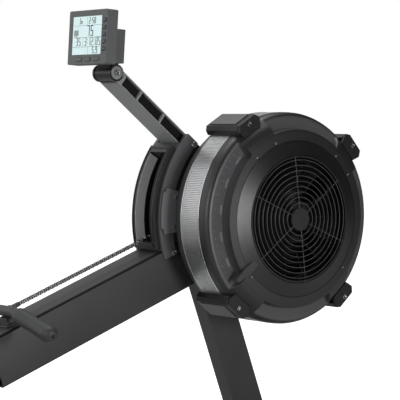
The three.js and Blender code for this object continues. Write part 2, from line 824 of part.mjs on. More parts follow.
// plain cushion with a notch at the rear for the tail bone
function seatPad() {
  const outline = roundedRectangle(seatWidth / 2, seatLength / 2, 70);
  const bottom = carriageTop + gap;
  const options = { depth: seatThickness, bevelEnabled: false, curveSegments: 8 };
  const pad = new THREE.ExtrudeGeometry(outline, options).translate(0, seatY, bottom);
  const notch = new THREE.CylinderGeometry(38, 38, seatThickness + 4, 24).rotateX(Math.PI / 2)
    .translate(0, seatY - seatLength / 2 - 12, bottom + seatThickness / 2);
  return cut(pad, notch);
}

// ---- Foot plates ----

function underBar(z) {
  const reach = footPlateWall / 2 + gap + footBarRadius;
  const [cos, sin] = [Math.cos(footAngle), Math.sin(footAngle)];
  const toeZ = railTop + toeAboveRail;
  return [railFront - footFromRailFront + (reach + (z - toeZ) * cos) / sin, z];
}

// two cross bars joined by cheeks that clamp the rail's sides
function footSupport() {
  const upper = underBar(railTop + gap + footBarRadius);
  const lower = underBar(railBottom - gap - footBarRadius);
  const reach = footPlateX + footPlateWidth / 2 - 6;
  const bars = [upper, lower].map(([y, z]) => rodX(footBarRadius, -reach, reach, y, z));
  const cheeks = [-1, 1].map((side) => {
    const [x0, x1] = side > 0 ? [railWidth / 2 + gap, 33] : [-33, -railWidth / 2 - gap];
    return sideSolid([
      [lower[0] - 9, lower[1] - 6], [lower[0] + 12, lower[1] - 6], [upper[0] + 14, upper[1]],
      [upper[0] + 4, upper[1] + 9], [upper[0] - 6, upper[1] + 6],
    ], x0, x1);
  });
  return join(...bars, ...cheeks);
}

function footPlate(side) {
  const outline = roundedRectangle(footPlateWidth / 2, footPlateLength / 2, 22);
  return new THREE.ExtrudeGeometry(outline, { depth: footPlateWall, bevelEnabled: false, curveSegments: 6 })
    .translate(side * footPlateX, -footPlateLength / 2, -footPlateWall / 2);
}

// heel cup that slides up and down its plate to fit the shoe
function heelCup(side) {
  const floor = footPlateWall / 2 + gap;
  const half = footPlateWidth / 2 - 2;
  const rear = -footPlateLength;
  const wall = 4;
  const body = box(-half, half, rear - 2, rear + 118, floor, floor + 48);
  const hollow = box(-half + wall, half - wall, rear + 3, rear + 130, floor + wall, floor + 60);
  const slopeCut = sideSolid([[rear + 20, floor + 60], [rear + 125, floor + 60], [rear + 125, floor + 9]],
    -half - 1, half + 1);
  return cut(body, hollow, slopeCut).translate(side * footPlateX, 0, 0);
}

// webbing loop over the shoe's ball
function footStrap(side) {
  const [rear, front] = [-114, -76];
  const half = footPlateWidth / 2 + 1.7;
  const arch = Array.from({ length: 17 }, (_, i) => {
    const angle = (Math.PI * i) / 16;
    return [half * Math.cos(angle), 8 + 60 * Math.sin(angle)];
  });
  const path = [[half, -4], ...arch, [-half, -4]];
  const geometry = new THREE.ExtrudeGeometry(shapeOf(ribbonOutline(path, 1.3)),
    { depth: front - rear, bevelEnabled: false });
  return geometry.rotateX(Math.PI / 2).translate(side * footPlateX, front, 0);
}

// ---- Monitor and arm ----

// moulded arm with ribbed sides, a fork for the monitor and stub pins at the case
function monitorArm() {
  const half = armWidth / 2;
  const depth = armDepth / 2;
  const start = knuckleRadius + 1;
  const beam = box(-half, half, -20, armLength - start, -depth, depth);
  const pocketLength = 84;
  const pitch = 90;
  const flange = 3;
  const pockets = [];
  for (let y = 20; y + 30 < armLength - start; y += pitch) {
    const end = Math.min(y + pocketLength, armLength - start - 6);
    pockets.push(box(-half - 1, -half + 9, y, end, -depth + flange, depth - flange));
    pockets.push(box(half - 9, half + 1, y, end, -depth + flange, depth - flange));
  }
  const cheeks = [[-half, -half + cheekWall], [half - cheekWall, half]].map(([x0, x1]) => {
    const root = box(x0, x1, armLength - start - 8, armLength, -depth, depth);
    return join(rodX(knuckleRadius, x0, x1, armLength, 0, 32), root);
  });
  const pins = rodX(armBoltRadius, -caseHalfWidth - sideFrameWall - 4, caseHalfWidth + sideFrameWall + 4);
  const bore = rodX(5 + runningGap, -half - 1, half + 1, armLength, 0);
  return cut(join(cut(beam, ...pockets), ...cheeks, pins), bore);
}

// barrel between the fork's cheeks, its pin, and the short neck under the monitor
function monitorNeck() {
  const half = armWidth / 2 - cheekWall - gap;
  const radius = knuckleRadius - 1;
  const [dy, dz] = [pivotY - monitorY, pivotZ - monitorZ];
  const [cos, sin] = [Math.cos(monitorTilt), Math.sin(monitorTilt)];
  const y = dy * cos - dz * sin;
  const z = dy * sin + dz * cos;
  const barrel = rodX(radius, -half, half, y, z, 24);
  const pin = rodX(5, -armWidth / 2 - 3, armWidth / 2 + 3, y, z);
  const neck = box(-half + 3, half - 3, y - 14, y + 12, z, batteryBottom - gap);
  return join(barrel, pin, neck);
}

const batteryBottom = -60;
const screen = { left: -65, right: 59, bottom: -43, top: 52, depth: 2.3 };
const sideButtons = Array.from({ length: 5 }, (_, i) => (
  { name: `side_button_${i + 1}`, x: 71.5, z: 40 - 17.6 * i, width: 14, height: 9 }));
const lowerButtons = Array.from({ length: 3 }, (_, i) => (
  { name: `lower_button_${i + 1}`, x: -32 + 37.5 * i, z: -55, width: 24, height: 9 }));
const buttons = [...sideButtons, ...lowerButtons];
const buttonPocket = 5;

// display housing with the battery box on its back; the front faces the rower
function monitorCase() {
  const half = monitorWidth / 2;
  const tall = monitorHeight / 2;
  const outline = roundedRectangle(half, tall, 4);
  const options = { depth: monitorDepth, bevelEnabled: false, curveSegments: 4 };
  const front = new THREE.ExtrudeGeometry(outline, options).rotateX(Math.PI / 2)
    .translate(0, monitorDepth, 0);
  const battery = box(-50, 50, monitorDepth - 1, monitorDepth + 47, batteryBottom, 24);
  const recess = box(screen.left - gap, screen.right + gap, -1, screen.depth + gap,
    screen.bottom - gap, screen.top + gap);
  const pockets = buttons.map(({ x, z, width, height }) => (
    box(x - width / 2 - runningGap, x + width / 2 + runningGap, -1, buttonPocket,
      z - height / 2 - runningGap, z + height / 2 + runningGap)));
  return cut(join(front, battery), recess, ...pockets);
}

function lcdScreen() {
  return box(screen.left, screen.right, 0.4, screen.depth, screen.bottom, screen.top);
}

function button({ x, z, width, height }) {
  return box(x - width / 2, x + width / 2, -2, buttonPocket - 1.8, z - height / 2, z + height / 2);
}

// ---- Every sub-part in its place ----

add(beamFrame, 'main_beam', mainBeam(), blackPaint);
add(machine, 'front_leg', frontLeg(), blackPaint);
add(machine, 'front_foot_bar', frontFootBar(), blackPaint);
add(machine, 'seat_rail', seatRail(), rawAluminium);
add(machine, 'rail_bracket', railBracket(), blackPaint);
add(machine, 'rail_end_stop', railEndStop(), rubber);
add(machine, 'rear_leg', rearLeg(), blackPaint);
add(machine, 'rear_foot_bar', rearFootBar(), blackPaint);

add(machine, 'throat_frame', throatFrame(), darkPlastic);
add(beamFrame, 'handle_hook', handleHook(), blackPlastic);

add(machine, 'drum_back_shell', drumBackShell(), blackPlastic);
add(machine, 'perforated_band', perforatedBand(), silverMesh);
add(machine, 'drum_front_shell', drumFrontShell(), blackPlastic);
add(machine, 'front_cover', frontCover(), blackPlastic);
add(machine, 'damper_ring', damperRing(), darkPlastic);
add(machine, 'intake_grille', intakeGrille(), darkPlastic);
for (const [place, degrees] of Object.entries(blockAngles)) {
  add(machine, `rim_clamp_${place}`, rimClamp(degrees), darkPlastic);
}

add(machine, 'flywheel', flywheel(), steel);
add(machine, 'flywheel_axle', flywheelAxle(), steel);
add(beamFrame, 'drive_sprocket', driveSprocket(), steel);
add(beamFrame, 'guide_roller', guideRoller(), blackPlastic);
add(beamFrame, 'drive_chain', driveChain(), steel);
add(beamFrame, 'pull_chain', pullChain(), steel);
add(beamFrame, 'handle_bar', handleBar(), blackPaint);

add(machine, 'seat_pad', seatPad(), padding);
add(machine, 'seat_carriage', seatCarriage(), steel);
add(machine, 'seat_roller_front', seatRoller(1), blackPlastic);
add(machine, 'seat_roller_rear', seatRoller(-1), blackPlastic);
add(machine, 'foot_support', footSupport(), blackPaint);

for (const [side, name] of [[-1, 'left'], [1, 'right']]) {
  const frontCap = footCap(side, frontFootWidth, frontFootDepth, frontFootCentre);
  add(machine, `front_foot_cap_${name}`, frontCap, rubber);
  add(machine, `transport_wheel_${name}`, transportWheel(side), rubber);
  add(machine, `chain_case_${name}`, chainCaseHalf(side), blackPlastic);
  add(machine, `side_frame_${name}`, sideFrame(side), blackPaint);
  add(beamFrame, `handle_grip_${name}`, handleGrip(side), rubber);
  add(footFrameOrigin, `foot_plate_${name}`, footPlate(side), blackPlastic);
  add(footFrameOrigin, `heel_cup_${name}`, heelCup(side), darkPlastic);
  add(footFrameOrigin, `foot_strap_${name}`, footStrap(side), webbing);
}

add(armFrame, 'monitor_arm', monitorArm(), greyPlastic);
add(monitorFrame, 'monitor_neck', monitorNeck(), blackPlastic);
add(monitorFrame, 'monitor_case', monitorCase(), greyPlastic);
add(monitorFrame, 'lcd_screen', lcdScreen(), liquidCrystal);
for (const item of buttons) {
  add(monitorFrame, item.name, button(item), darkPlastic);
}

export default group;
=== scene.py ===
import math

import bmesh
import bpy
from mathutils import Matrix, Vector
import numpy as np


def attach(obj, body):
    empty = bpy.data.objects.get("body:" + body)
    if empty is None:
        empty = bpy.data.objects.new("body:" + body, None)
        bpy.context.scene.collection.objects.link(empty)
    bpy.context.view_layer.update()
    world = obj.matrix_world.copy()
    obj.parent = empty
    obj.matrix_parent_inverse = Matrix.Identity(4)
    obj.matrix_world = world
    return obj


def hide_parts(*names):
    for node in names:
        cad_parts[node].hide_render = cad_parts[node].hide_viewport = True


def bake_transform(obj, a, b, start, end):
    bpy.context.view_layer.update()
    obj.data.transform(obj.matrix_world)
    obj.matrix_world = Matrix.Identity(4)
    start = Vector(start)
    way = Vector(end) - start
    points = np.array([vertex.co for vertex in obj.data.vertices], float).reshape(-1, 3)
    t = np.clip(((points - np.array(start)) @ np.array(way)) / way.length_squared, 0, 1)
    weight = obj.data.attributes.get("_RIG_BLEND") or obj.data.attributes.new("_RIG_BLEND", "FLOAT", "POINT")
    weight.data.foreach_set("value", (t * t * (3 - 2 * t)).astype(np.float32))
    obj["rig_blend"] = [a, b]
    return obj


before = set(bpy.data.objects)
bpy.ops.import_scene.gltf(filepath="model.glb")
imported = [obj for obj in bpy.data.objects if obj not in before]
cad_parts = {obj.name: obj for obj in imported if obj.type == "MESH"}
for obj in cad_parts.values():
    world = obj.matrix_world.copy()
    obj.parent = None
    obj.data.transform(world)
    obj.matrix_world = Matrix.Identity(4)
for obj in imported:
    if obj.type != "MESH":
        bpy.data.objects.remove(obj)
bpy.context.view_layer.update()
print("frame loaded")

# the drum's axis and the sloping beam, in metres: +X the rower's right, +Y forward, +Z up
axisY = 0.948
axisZ = 0.600
beamSlope = math.radians(20.3)
chainAxisV = 0.0575  # the chain's height above the axis, square to the beam
scene = bpy.context.scene


def beamPoint(x, u, v):
    y = u * math.cos(beamSlope) - v * math.sin(beamSlope)
    z = u * math.sin(beamSlope) + v * math.cos(beamSlope)
    return Vector((x, axisY + y, axisZ + z))


def drumPoint(x, radius, degrees):
    angle = math.radians(degrees)
    return Vector((x, axisY + radius * math.cos(angle), axisZ + radius * math.sin(angle)))


# carries a shape drawn along +Y from the drum's axis round to an angle
def aboutAxis(degrees):
    return Matrix.Translation((0, axisY, axisZ)) @ Matrix.Rotation(math.radians(degrees), 4, "X")


# camera
view = {"place": (3.52379, -1.96269, 0.86243), "azimuth": 51.671, "elevation": 2.798, "lens": 154.93}


def makeCamera():
    azimuth = math.radians(view["azimuth"])
    elevation = math.radians(view["elevation"])
    back = Vector((
        math.sin(azimuth) * math.cos(elevation),
        -math.cos(azimuth) * math.cos(elevation),
        math.sin(elevation),
    ))
    right = Vector((math.cos(azimuth), math.sin(azimuth), 0))
    turn = Matrix((right, back.cross(right), back)).transposed()
    data = bpy.data.cameras.new("camera")
    data.lens = view["lens"]
    data.sensor_width = 36
    data.dof.use_dof = False
    data.clip_end = 60
    camera = bpy.data.objects.new("camera", data)
    camera.matrix_world = Matrix.Translation(view["place"]) @ turn.to_4x4()
    scene.collection.objects.link(camera)
    scene.camera = camera


makeCamera()


def linear(hexCode):
    shares = [int(hexCode[i:i + 2], 16) / 255 for i in (0, 2, 4)]
    return (*[s / 12.92 if s < 0.04045 else ((s + 0.055) / 1.055) ** 2.4 for s in shares], 1)


# adds one node, with its settings, its values and its links
def addNode(tree, kind, values=None, links=None, **settings):
    made = tree.nodes.new(kind)
    for name, value in settings.items():
        setattr(made, name, value)
    for name, value in (values or {}).items():
        made.inputs[name].default_value = value
    for name, value in (links or {}).items():
        tree.links.new(value, made.inputs[name])
    return made


def startMaterial(name):
    material = bpy.data.materials.new(name)
    material.use_nodes = True
    tree = material.node_tree
    tree.nodes.clear()
    spot = addNode(tree, "ShaderNodeTexCoord").outputs["Object"]
    return material, tree, spot


def endMaterial(tree, color, roughness, normal, values):
    shader = addNode(tree, "ShaderNodeBsdfPrincipled", values,
                     {"Base Color": color, "Roughness": roughness, "Normal": normal})
    addNode(tree, "ShaderNodeOutputMaterial", links={"Surface": shader.outputs[0]})


def mixColors(tree, share, first, second):
    mixed = addNode(tree, "ShaderNodeMix", data_type="RGBA")
    tree.links.new(share, mixed.inputs[0])
    for socket, color in ((mixed.inputs[6], first), (mixed.inputs[7], second)):
        if isinstance(color, str):
            socket.default_value = linear(color)
        else:
            tree.links.new(color, socket)
    return mixed.outputs[2]


def ranged(tree, value, low, high):
    return addNode(tree, "ShaderNodeMapRange", {"To Min": low, "To Max": high}, {"Value": value}).outputs[0]


# a moulded, painted or rubbed surface: fine grain in the bump, soft clouds in the colour and gloss
def grainedMaterial(name, dark, light, roughness, grain, depth, values, stretch=(1, 1, 1)):
    material, tree, spot = startMaterial(name)
    spot = addNode(tree, "ShaderNodeMapping", {"Scale": stretch}, {"Vector": spot}).outputs[0]
    clouds = addNode(tree, "ShaderNodeTexNoise", {"Scale": 9, "Detail": 4, "Roughness": 0.6},
                     {"Vector": spot})
    grains = addNode(tree, "ShaderNodeTexNoise", {"Scale": 1 / grain, "Detail": 2}, {"Vector": spot})
    tone = addNode(tree, "ShaderNodeMath", links={0: clouds.outputs[0], 1: grains.outputs[0]})
    color = mixColors(tree, ranged(tree, tone.outputs[0], -0.6, 0.8), dark, light)
    gloss = ranged(tree, tone.outputs[0], roughness - 0.09, roughness + 0.05)
    bump = addNode(tree, "ShaderNodeBump", {"Strength": 0.5, "Distance": depth},
                   {"Height": grains.outputs[0]})
    endMaterial(tree, color, gloss, bump.outputs[0], values)
    return material


# painted light: the side frames' black paint is drawn a shade greyer, standing in for the light that falls
# on them
litFramePaint = grainedMaterial("litPowderCoat", "464648", "565658", 0.38, 0.0015, 0.0001, {"IOR": 1.5})
# powder-coated steel: an even satin black with a slight orange peel, 1.5 mm across
paintedSteel = grainedMaterial("powderCoatedSteel", "262627", "333335", 0.4, 0.0015, 0.0001,
                               {"IOR": 1.5, "Specular IOR Level": 0.5})
# moulded ABS: charcoal with a spark-eroded grain, drawn at 0.9 mm so that it shows
mouldedAbs = grainedMaterial("mouldedAbs", "2a2a2c", "38383a", 0.42, 0.0009, 0.00007,
                             {"IOR": 1.53, "Specular IOR Level": 0.5})
# the same plastic in a deeper black with a little more gloss
darkAbs = grainedMaterial("darkAbs", "101011", "19191a", 0.33, 0.0009, 0.00006,
                          {"IOR": 1.53, "Specular IOR Level": 0.5})
# grey ABS of the display and its arm, lightly textured
greyAbs = grainedMaterial("greyAbs", "4b4c4d", "5c5d5e", 0.46, 0.0008, 0.00007,
                          {"IOR": 1.53, "Specular IOR Level": 0.4})
# vulcanised rubber: matt black with a dusty bloom
rubber = grainedMaterial("vulcanisedRubber", "161617", "242425", 0.78, 0.0012, 0.00012,
                         {"IOR": 1.52, "Specular IOR Level": 0.35})
# closed-cell foam grips: soft dark grey skin with fine pores
gripFoam = grainedMaterial("closedCellFoam", "2a2b2c", "3a3b3c", 0.46, 0.0011, 0.0001,
                           {"IOR": 1.45, "Specular IOR Level": 0.4})
# self-skinning polyurethane of the seat: a leather-like grain 2 mm across
seatSkin = grainedMaterial("selfSkinningFoam", "1d1d1e", "2a2a2c", 0.55, 0.002, 0.00025,
                           {"IOR": 1.48, "Specular IOR Level": 0.4})
# zinc-plated steel: bolts, axle and carriage
zincSteel = grainedMaterial("zincPlatedSteel", "8c8f93", "b3b6ba", 0.3, 0.003, 0.00003, {"Metallic": 1.0})
# polished black-nickel steel: bolt heads that catch a white glint
blackSteel = grainedMaterial("blackNickelSteel", "9a9ca0", "c6c8cc", 0.16, 0.002, 0.00003,
                             {"Metallic": 1.0})
# bright rolled edge of the band
polishedSteel = grainedMaterial("polishedSteel", "d8dadc", "f2f3f4", 0.2, 0.004, 0.00002, {"Metallic": 1.0})
# brushed stainless sheet: hairlines run round the drum, drawn 1.2 mm wide
bandSteel = grainedMaterial("perforatedStainless", "b4b6b8", "e6e7e8", 0.36, 0.004, 0.00005,
                            {"Metallic": 1.0}, (6, 1, 1))
# anodised aluminium extrusion: drawn lines run along the rail, 2 mm apart
railAluminium = grainedMaterial("anodisedAluminium", "9b9ea1", "b8bbbe", 0.34, 0.002, 0.00005,
                                {"Metallic": 1.0}, (1, 0.03, 1))
# grey screen-printed ink on plastic
printInk = grainedMaterial("screenPrintInk", "5a5b5e", "707174", 0.55, 0.002, 0.00002, {"IOR": 1.45})
# painted shade: a soft black almost without gloss, for the shade in the arm's pockets and the dark
# reflection along the beam's upper edges
shadeBlackAbs = grainedMaterial("paintedShadeBlackAbs", "030303", "060606", 0.7, 0.0009, 0.00005,
                            {"IOR": 1.45, "Specular IOR Level": 0.3})
# mid-grey ABS of the drum's lug
lugAbs = grainedMaterial("slateAbs", "5c5c5e", "6c6c6e", 0.42, 0.0009, 0.00006, {"IOR": 1.53})
# silver-grey ABS of the arm
armAbs = grainedMaterial("silverGreyAbs", "747576", "868788", 0.42, 0.0008, 0.00006, {"IOR": 1.53})
# liquid-crystal segments, near black
segmentInk = grainedMaterial("crystalSegments", "101416", "1a1e20", 0.4, 0.003, 0.00001, {"IOR": 1.5})


# two-tone ABS of the drum's front: the sunk floors are a shade lighter than the blocks
def makeCoverAbs():
    material, tree, spot = startMaterial("drumCoverAbs")
    sunk = addNode(tree, "ShaderNodeAttribute", attribute_name="sunk").outputs["Fac"]
    clouds = addNode(tree, "ShaderNodeTexNoise", {"Scale": 7, "Detail": 4}, {"Vector": spot})
    grains = addNode(tree, "ShaderNodeTexNoise", {"Scale": 1100, "Detail": 2}, {"Vector": spot})
    block = mixColors(tree, clouds.outputs[0], "1a1a1c", "262628")
    floor = mixColors(tree, clouds.outputs[0], "414143", "505052")
    bump = addNode(tree, "ShaderNodeBump", {"Strength": 0.5, "Distance": 0.00007},
                   {"Height": grains.outputs[0]})
    endMaterial(tree, mixColors(tree, sunk, block, floor), ranged(tree, grains.outputs[0], 0.34, 0.5),
                bump.outputs[0], {"IOR": 1.53})
    return material


# polyester webbing: ribs across the strap every 1.6 mm, and a plain weave between them
def makeWebbing():
    material, tree, spot = startMaterial("polyesterWebbing")
    along = addNode(tree, "ShaderNodeTexWave", {"Scale": 100, "Distortion": 0.6}, {"Vector": spot},
                    bands_direction="X")
    across = addNode(tree, "ShaderNodeTexWave", {"Scale": 140, "Distortion": 0.6}, {"Vector": spot},
                     bands_direction="Z")
    weave = addNode(tree, "ShaderNodeMath", links={0: along.outputs["Fac"], 1: across.outputs["Fac"]},
                    operation="MULTIPLY").outputs[0]
    bump = addNode(tree, "ShaderNodeBump", {"Strength": 0.8, "Distance": 0.0004}, {"Height": weave})
    endMaterial(tree, mixColors(tree, weave, "141415", "343436"), ranged(tree, weave, 0.7, 0.9),
                bump.outputs[0], {"Sheen Weight": 0.25, "Sheen Roughness": 0.4})
    return material


# display glass: pale cyan with the faint grid of unlit segments, and a painted glow: a weak emission
# brightens it
def makeDisplayGlass():
    material, tree, spot = startMaterial("displayGlass")
    clouds = addNode(tree, "ShaderNodeTexNoise", {"Scale": 30, "Detail": 2}, {"Vector": spot})
    color = mixColors(tree, clouds.outputs[0], "cfe6e8", "e0f3f4")
    bump = addNode(tree, "ShaderNodeBump", {"Strength": 0.1, "Distance": 0.00002},
                   {"Height": clouds.outputs[0]})
    endMaterial(tree, color, ranged(tree, clouds.outputs[0], 0.1, 0.2), bump.outputs[0],
                {"IOR": 1.5, "Emission Color": linear("cdf2f4"), "Emission Strength": 0.17})
    return material


# nickel-plated roller chain with painted light and shade: light plates and dark gaps in bands, two to each
# half-inch pitch
def makeChainSteel():
    material, tree, spot = startMaterial("nickelPlatedChain")
    along = addNode(tree, "ShaderNodeMapping", {"Rotation": (-beamSlope, 0, 0)},
                    {"Vector": spot}).outputs[0]
    links = addNode(tree, "ShaderNodeTexWave", {"Scale": 49.2}, {"Vector": along}, bands_direction="Y")
    grains = addNode(tree, "ShaderNodeTexNoise", {"Scale": 300, "Detail": 2}, {"Vector": spot})
    # the light and dark bands are painted highlight and painted shade between the links
    color = mixColors(tree, ranged(tree, links.outputs["Fac"], -0.3, 1.2), "2a2a2c", "c4c6c8")
    bump = addNode(tree, "ShaderNodeBump", {"Strength": 0.5, "Distance": 0.00003},
                   {"Height": grains.outputs[0]})
    endMaterial(tree, color, ranged(tree, grains.outputs[0], 0.2, 0.36), bump.outputs[0], {"Metallic": 1.0})
    return material


coverAbs = makeCoverAbs()
chainSteel = makeChainSteel()
webbing = makeWebbing()
displayGlass = makeDisplayGlass()
print("materials made")


def linkMesh(name, mesh, material):
    mesh.name = name
    if material:
        mesh.materials.clear()
        mesh.materials.append(material)
    made = bpy.data.objects.new(name, mesh)
    scene.collection.objects.link(made)
    return made


def smoothByAngle(mesh, degrees):
    mesh.shade_smooth()
    mesh.set_sharp_from_angle(angle=math.radians(degrees))


# applies an object's modifiers, and gives the result a fresh object
def baked(made, name, material):
    bpy.context.view_layer.update()
    source = made.evaluated_get(bpy.context.evaluated_depsgraph_get())
    mesh = bpy.data.meshes.new_from_object(source, preserve_all_data_layers=True,
                                           depsgraph=bpy.context.evaluated_depsgraph_get())
    old = made.data
    bpy.data.objects.remove(made)
    bpy.data.meshes.remove(old)
    return linkMesh(name, mesh, material)


# a mesh from points and faces, its doubles merged and its faces turned outwards
def meshOf(points, faces, sharpAngle=35):
    mesh = bpy.data.meshes.new("shape")
    mesh.from_pydata([tuple(p) for p in points], [], faces)
    shape = bmesh.new()
    shape.from_mesh(mesh)
    bmesh.ops.remove_doubles(shape, verts=shape.verts, dist=1e-6)
    bmesh.ops.recalc_face_normals(shape, faces=shape.faces)
    shape.to_mesh(mesh)
    shape.free()
    smoothByAngle(mesh, sharpAngle)
    return mesh


def joined(parts):
    points, faces = [], []
    for somePoints, someFaces in parts:
        base = len(points)
        points += somePoints
        faces += [tuple(base + i for i in face) for face in someFaces]
    return points, faces


def place(piece, body, slot, *nodes):
    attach(piece, body)
    if nodes:
        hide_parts(*nodes)
    return piece


# rounds a mesh's sharp edges by a bevel of real width
def bevelled(mesh, name, material, width, steps=2, angle=32):
    made = linkMesh(name, mesh, None)
    bevel = made.modifiers.new("bevel", "BEVEL")
    bevel.width = width
    bevel.segments = steps
    bevel.limit_method = "ANGLE"
    bevel.angle_limit = math.radians(angle)
    bevel.harden_normals = True
    return baked(made, name, material)


# a CAD node's own shape with merged vertices, whole flat faces and rounded edges
def refined(node, name, material, width, steps=2):
    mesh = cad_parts[node].data.copy()
    shape = bmesh.new()
    shape.from_mesh(mesh)
    bmesh.ops.remove_doubles(shape, verts=shape.verts, dist=2e-5)
    bmesh.ops.dissolve_limit(shape, angle_limit=math.radians(0.6), verts=shape.verts, edges=shape.edges)
    shape.to_mesh(mesh)
    shape.free()
    mesh.materials.clear()
    for attribute in [a.name for a in mesh.attributes if a.name == "custom_normal"]:
        mesh.attributes.remove(mesh.attributes[attribute])
    smoothByAngle(mesh, 32)
    return bevelled(mesh, name, material, width, steps)


# an outline of (x, radius) points turned about the drum's axis
def turned(outline, segments=128, closed=True, degrees=(0, 360)):
    whole = degrees[1] - degrees[0] >= 360
    rows = segments if whole else segments + 1
    points = []
    for i in range(rows):
        angle = degrees[0] + (degrees[1] - degrees[0]) * i / segments
        points += [drumPoint(x, radius, angle) for x, radius in outline]
    count = len(outline)
    faces = []
    for i in range(segments):
        a = i * count
        b = ((i + 1) % rows) * count
        for j in range(count if closed else count - 1):
            k = (j + 1) % count
            faces.append((a + j, a + k, b + k, b + j))
    return points, faces


# pieces that keep their CAD shape, with rounded edges: node: (piece, material, edge in mm, slot, body)
refinedPieces = {
    "front_leg": ("frontLeg", paintedSteel, 2.5, "black_paint", "frame"),
    "front_foot_bar": ("frontFootBar", paintedSteel, 1.2, "black_paint", "frame"),
    "front_foot_cap_left": ("frontFootCapLeft", rubber, 1.2, "rubber", "frame"),
    "front_foot_cap_right": ("frontFootCapRight", rubber, 1.2, "rubber", "frame"),
    "rail_bracket": ("railBracket", paintedSteel, 2, "black_paint", "frame"),
    "rail_end_stop": ("railEndStop", rubber, 2.5, "rubber", "frame"),
    "rear_leg": ("rearLeg", paintedSteel, 2.5, "black_paint", "frame"),
    "rear_foot_bar": ("rearFootBar", paintedSteel, 1.5, "black_paint", "frame"),
    "seat_rail": ("seatRail", railAluminium, 0.8, "rail_aluminium", "frame"),
    "throat_frame": ("throatFrame", darkAbs, 1.8, "dark_plastic", "frame"),
    "chain_case_left": ("chainCaseLeft", mouldedAbs, 0.8, "black_plastic", "frame"),
    "chain_case_right": ("chainCaseRight", mouldedAbs, 0.8, "black_plastic", "frame"),
    "side_frame_left": ("sideFrameLeft", litFramePaint, 1.2, "black_paint", "frame"),
    "side_frame_right": ("sideFrameRight", litFramePaint, 1.2, "black_paint", "frame"),
    "drum_back_shell": ("drumBackShell", mouldedAbs, 0.6, "black_plastic", "frame"),
    "handle_hook": ("handleHook", mouldedAbs, 1.6, "black_plastic", "frame"),
    "foot_support": ("footSupport", paintedSteel, 1.2, "black_paint", "frame"),
    "heel_cup_left": ("heelCupLeft", darkAbs, 1.2, "dark_plastic", "heel_left"),
    "heel_cup_right": ("heelCupRight", darkAbs, 1.2, "dark_plastic", "heel_right"),
    "transport_wheel_left": ("transportWheelLeft", rubber, 1.6, "rubber", "wheel_left"),
    "transport_wheel_right": ("transportWheelRight", rubber, 1.6, "rubber", "wheel_right"),
    "seat_roller_front": ("seatRollerFront", mouldedAbs, 1.2, "black_plastic", "roller_front"),
    "seat_roller_rear": ("seatRollerRear", mouldedAbs, 1.2, "black_plastic", "roller_rear"),
    "seat_carriage": ("seatCarriage", zincSteel, 0.8, "steel", "seat"),
    "monitor_arm": ("monitorArm", armAbs, 0.9, "grey_plastic", "arm"),
    "monitor_neck": ("monitorNeck", darkAbs, 1.5, "black_plastic", "monitor"),
    "monitor_case": ("monitorCase", greyAbs, 1.4, "grey_plastic", "monitor"),
    "handle_bar": ("handleBar", paintedSteel, 0.8, "black_paint", "handle"),
    "guide_roller": ("guideRoller", mouldedAbs, 1, "black_plastic", "guide"),
}
for row, count, material in (("side", 5, darkAbs), ("lower", 3, greyAbs)):
    for i in range(1, count + 1):
        node = f"{row}_button_{i}"
        refinedPieces[node] = (f"{row}Button{i}", material, 1.4, "dark_plastic", node)

for node, (piece, material, edge, slotName, body) in refinedPieces.items():
    place(refined(node, piece, material, edge / 1000), body, slotName, node)

# hidden working parts keep their CAD mesh
for node, material in {"flywheel": mouldedAbs, "flywheel_axle": zincSteel, "drive_sprocket": zincSteel,
                       "drive_chain": chainSteel}.items():
    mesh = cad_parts[node].data
    mesh.materials.clear()
    mesh.materials.append(material)
print("plain pieces refined")

# front beam: a rolled box tube with rounded corners
beam = {"width": 0.104, "top": 0.0255, "bottom": -0.0965, "front": -0.095, "rear": -0.844,
        "corner": 0.007, "wall": 0.004}


def roundedOutline(halfWidth, low, high, corner, steps=6):
    outline = []
    centres = ((halfWidth, high, 0), (-halfWidth, high, 90), (-halfWidth, low, 180), (halfWidth, low, 270))
    for x, v, start in centres:
        cx = x - math.copysign(corner, x)
        cv = v - math.copysign(corner, v - (low + high) / 2)
        for i in range(steps + 1):
            angle = math.radians(start + 90 * i / steps)
            outline.append((cx + corner * math.cos(angle), cv + corner * math.sin(angle)))
    return outline


def makeBeam():
    half = beam["width"] / 2
    wall = beam["wall"]
    outer = roundedOutline(half, beam["bottom"], beam["top"], beam["corner"])
    inner = roundedOutline(half - wall, beam["bottom"] + wall, beam["top"] - wall, beam["corner"] - 0.003)
    count = len(outer)
    points = []
    for u in (beam["rear"], beam["front"]):
        for outline in (outer, inner):
            points += [beamPoint(x, u, v) for x, v in outline]
    faces = []
    for i in range(count):
        j = (i + 1) % count
        faces.append((i, j, 2 * count + j, 2 * count + i))
        faces.append((count + i, count + j, 3 * count + j, 3 * count + i))
        faces.append((i, j, count + j, count + i))
        faces.append((2 * count + i, 2 * count + j, 3 * count + j, 3 * count + i))
    piece = linkMesh("frontBeam", meshOf(points, faces, 50), paintedSteel)
    place(piece, "frame", "black_paint", "main_beam")
    # painted shade: a matt black strip covers each upper edge, standing in for the dark reflection on its
    # rounded corner
    shadeStrips = []
    for side in (-1, 1):
        arc = [(side * (half - beam["corner"] + radius * math.cos(math.radians(a))),
                beam["top"] - beam["corner"] + radius * math.sin(math.radians(a)))
               for radius, turns in ((0.0073, range(18, 79, 10)), (0.0066, range(78, 17, -10)))
               for a in turns]
        count = len(arc)
        ends = [beamPoint(x, u, v) for u in (beam["rear"] + 0.001, beam["front"] - 0.02) for x, v in arc]
        sides = [(i, (i + 1) % count, count + (i + 1) % count, count + i) for i in range(count)]
        shadeStrips.append((ends, sides + [tuple(range(count)), tuple(range(count, 2 * count))]))
    place(linkMesh("beamEdgeStrips", meshOf(*joined(shadeStrips)), shadeBlackAbs), "frame", "black_paint")


makeBeam()
print("beam made")

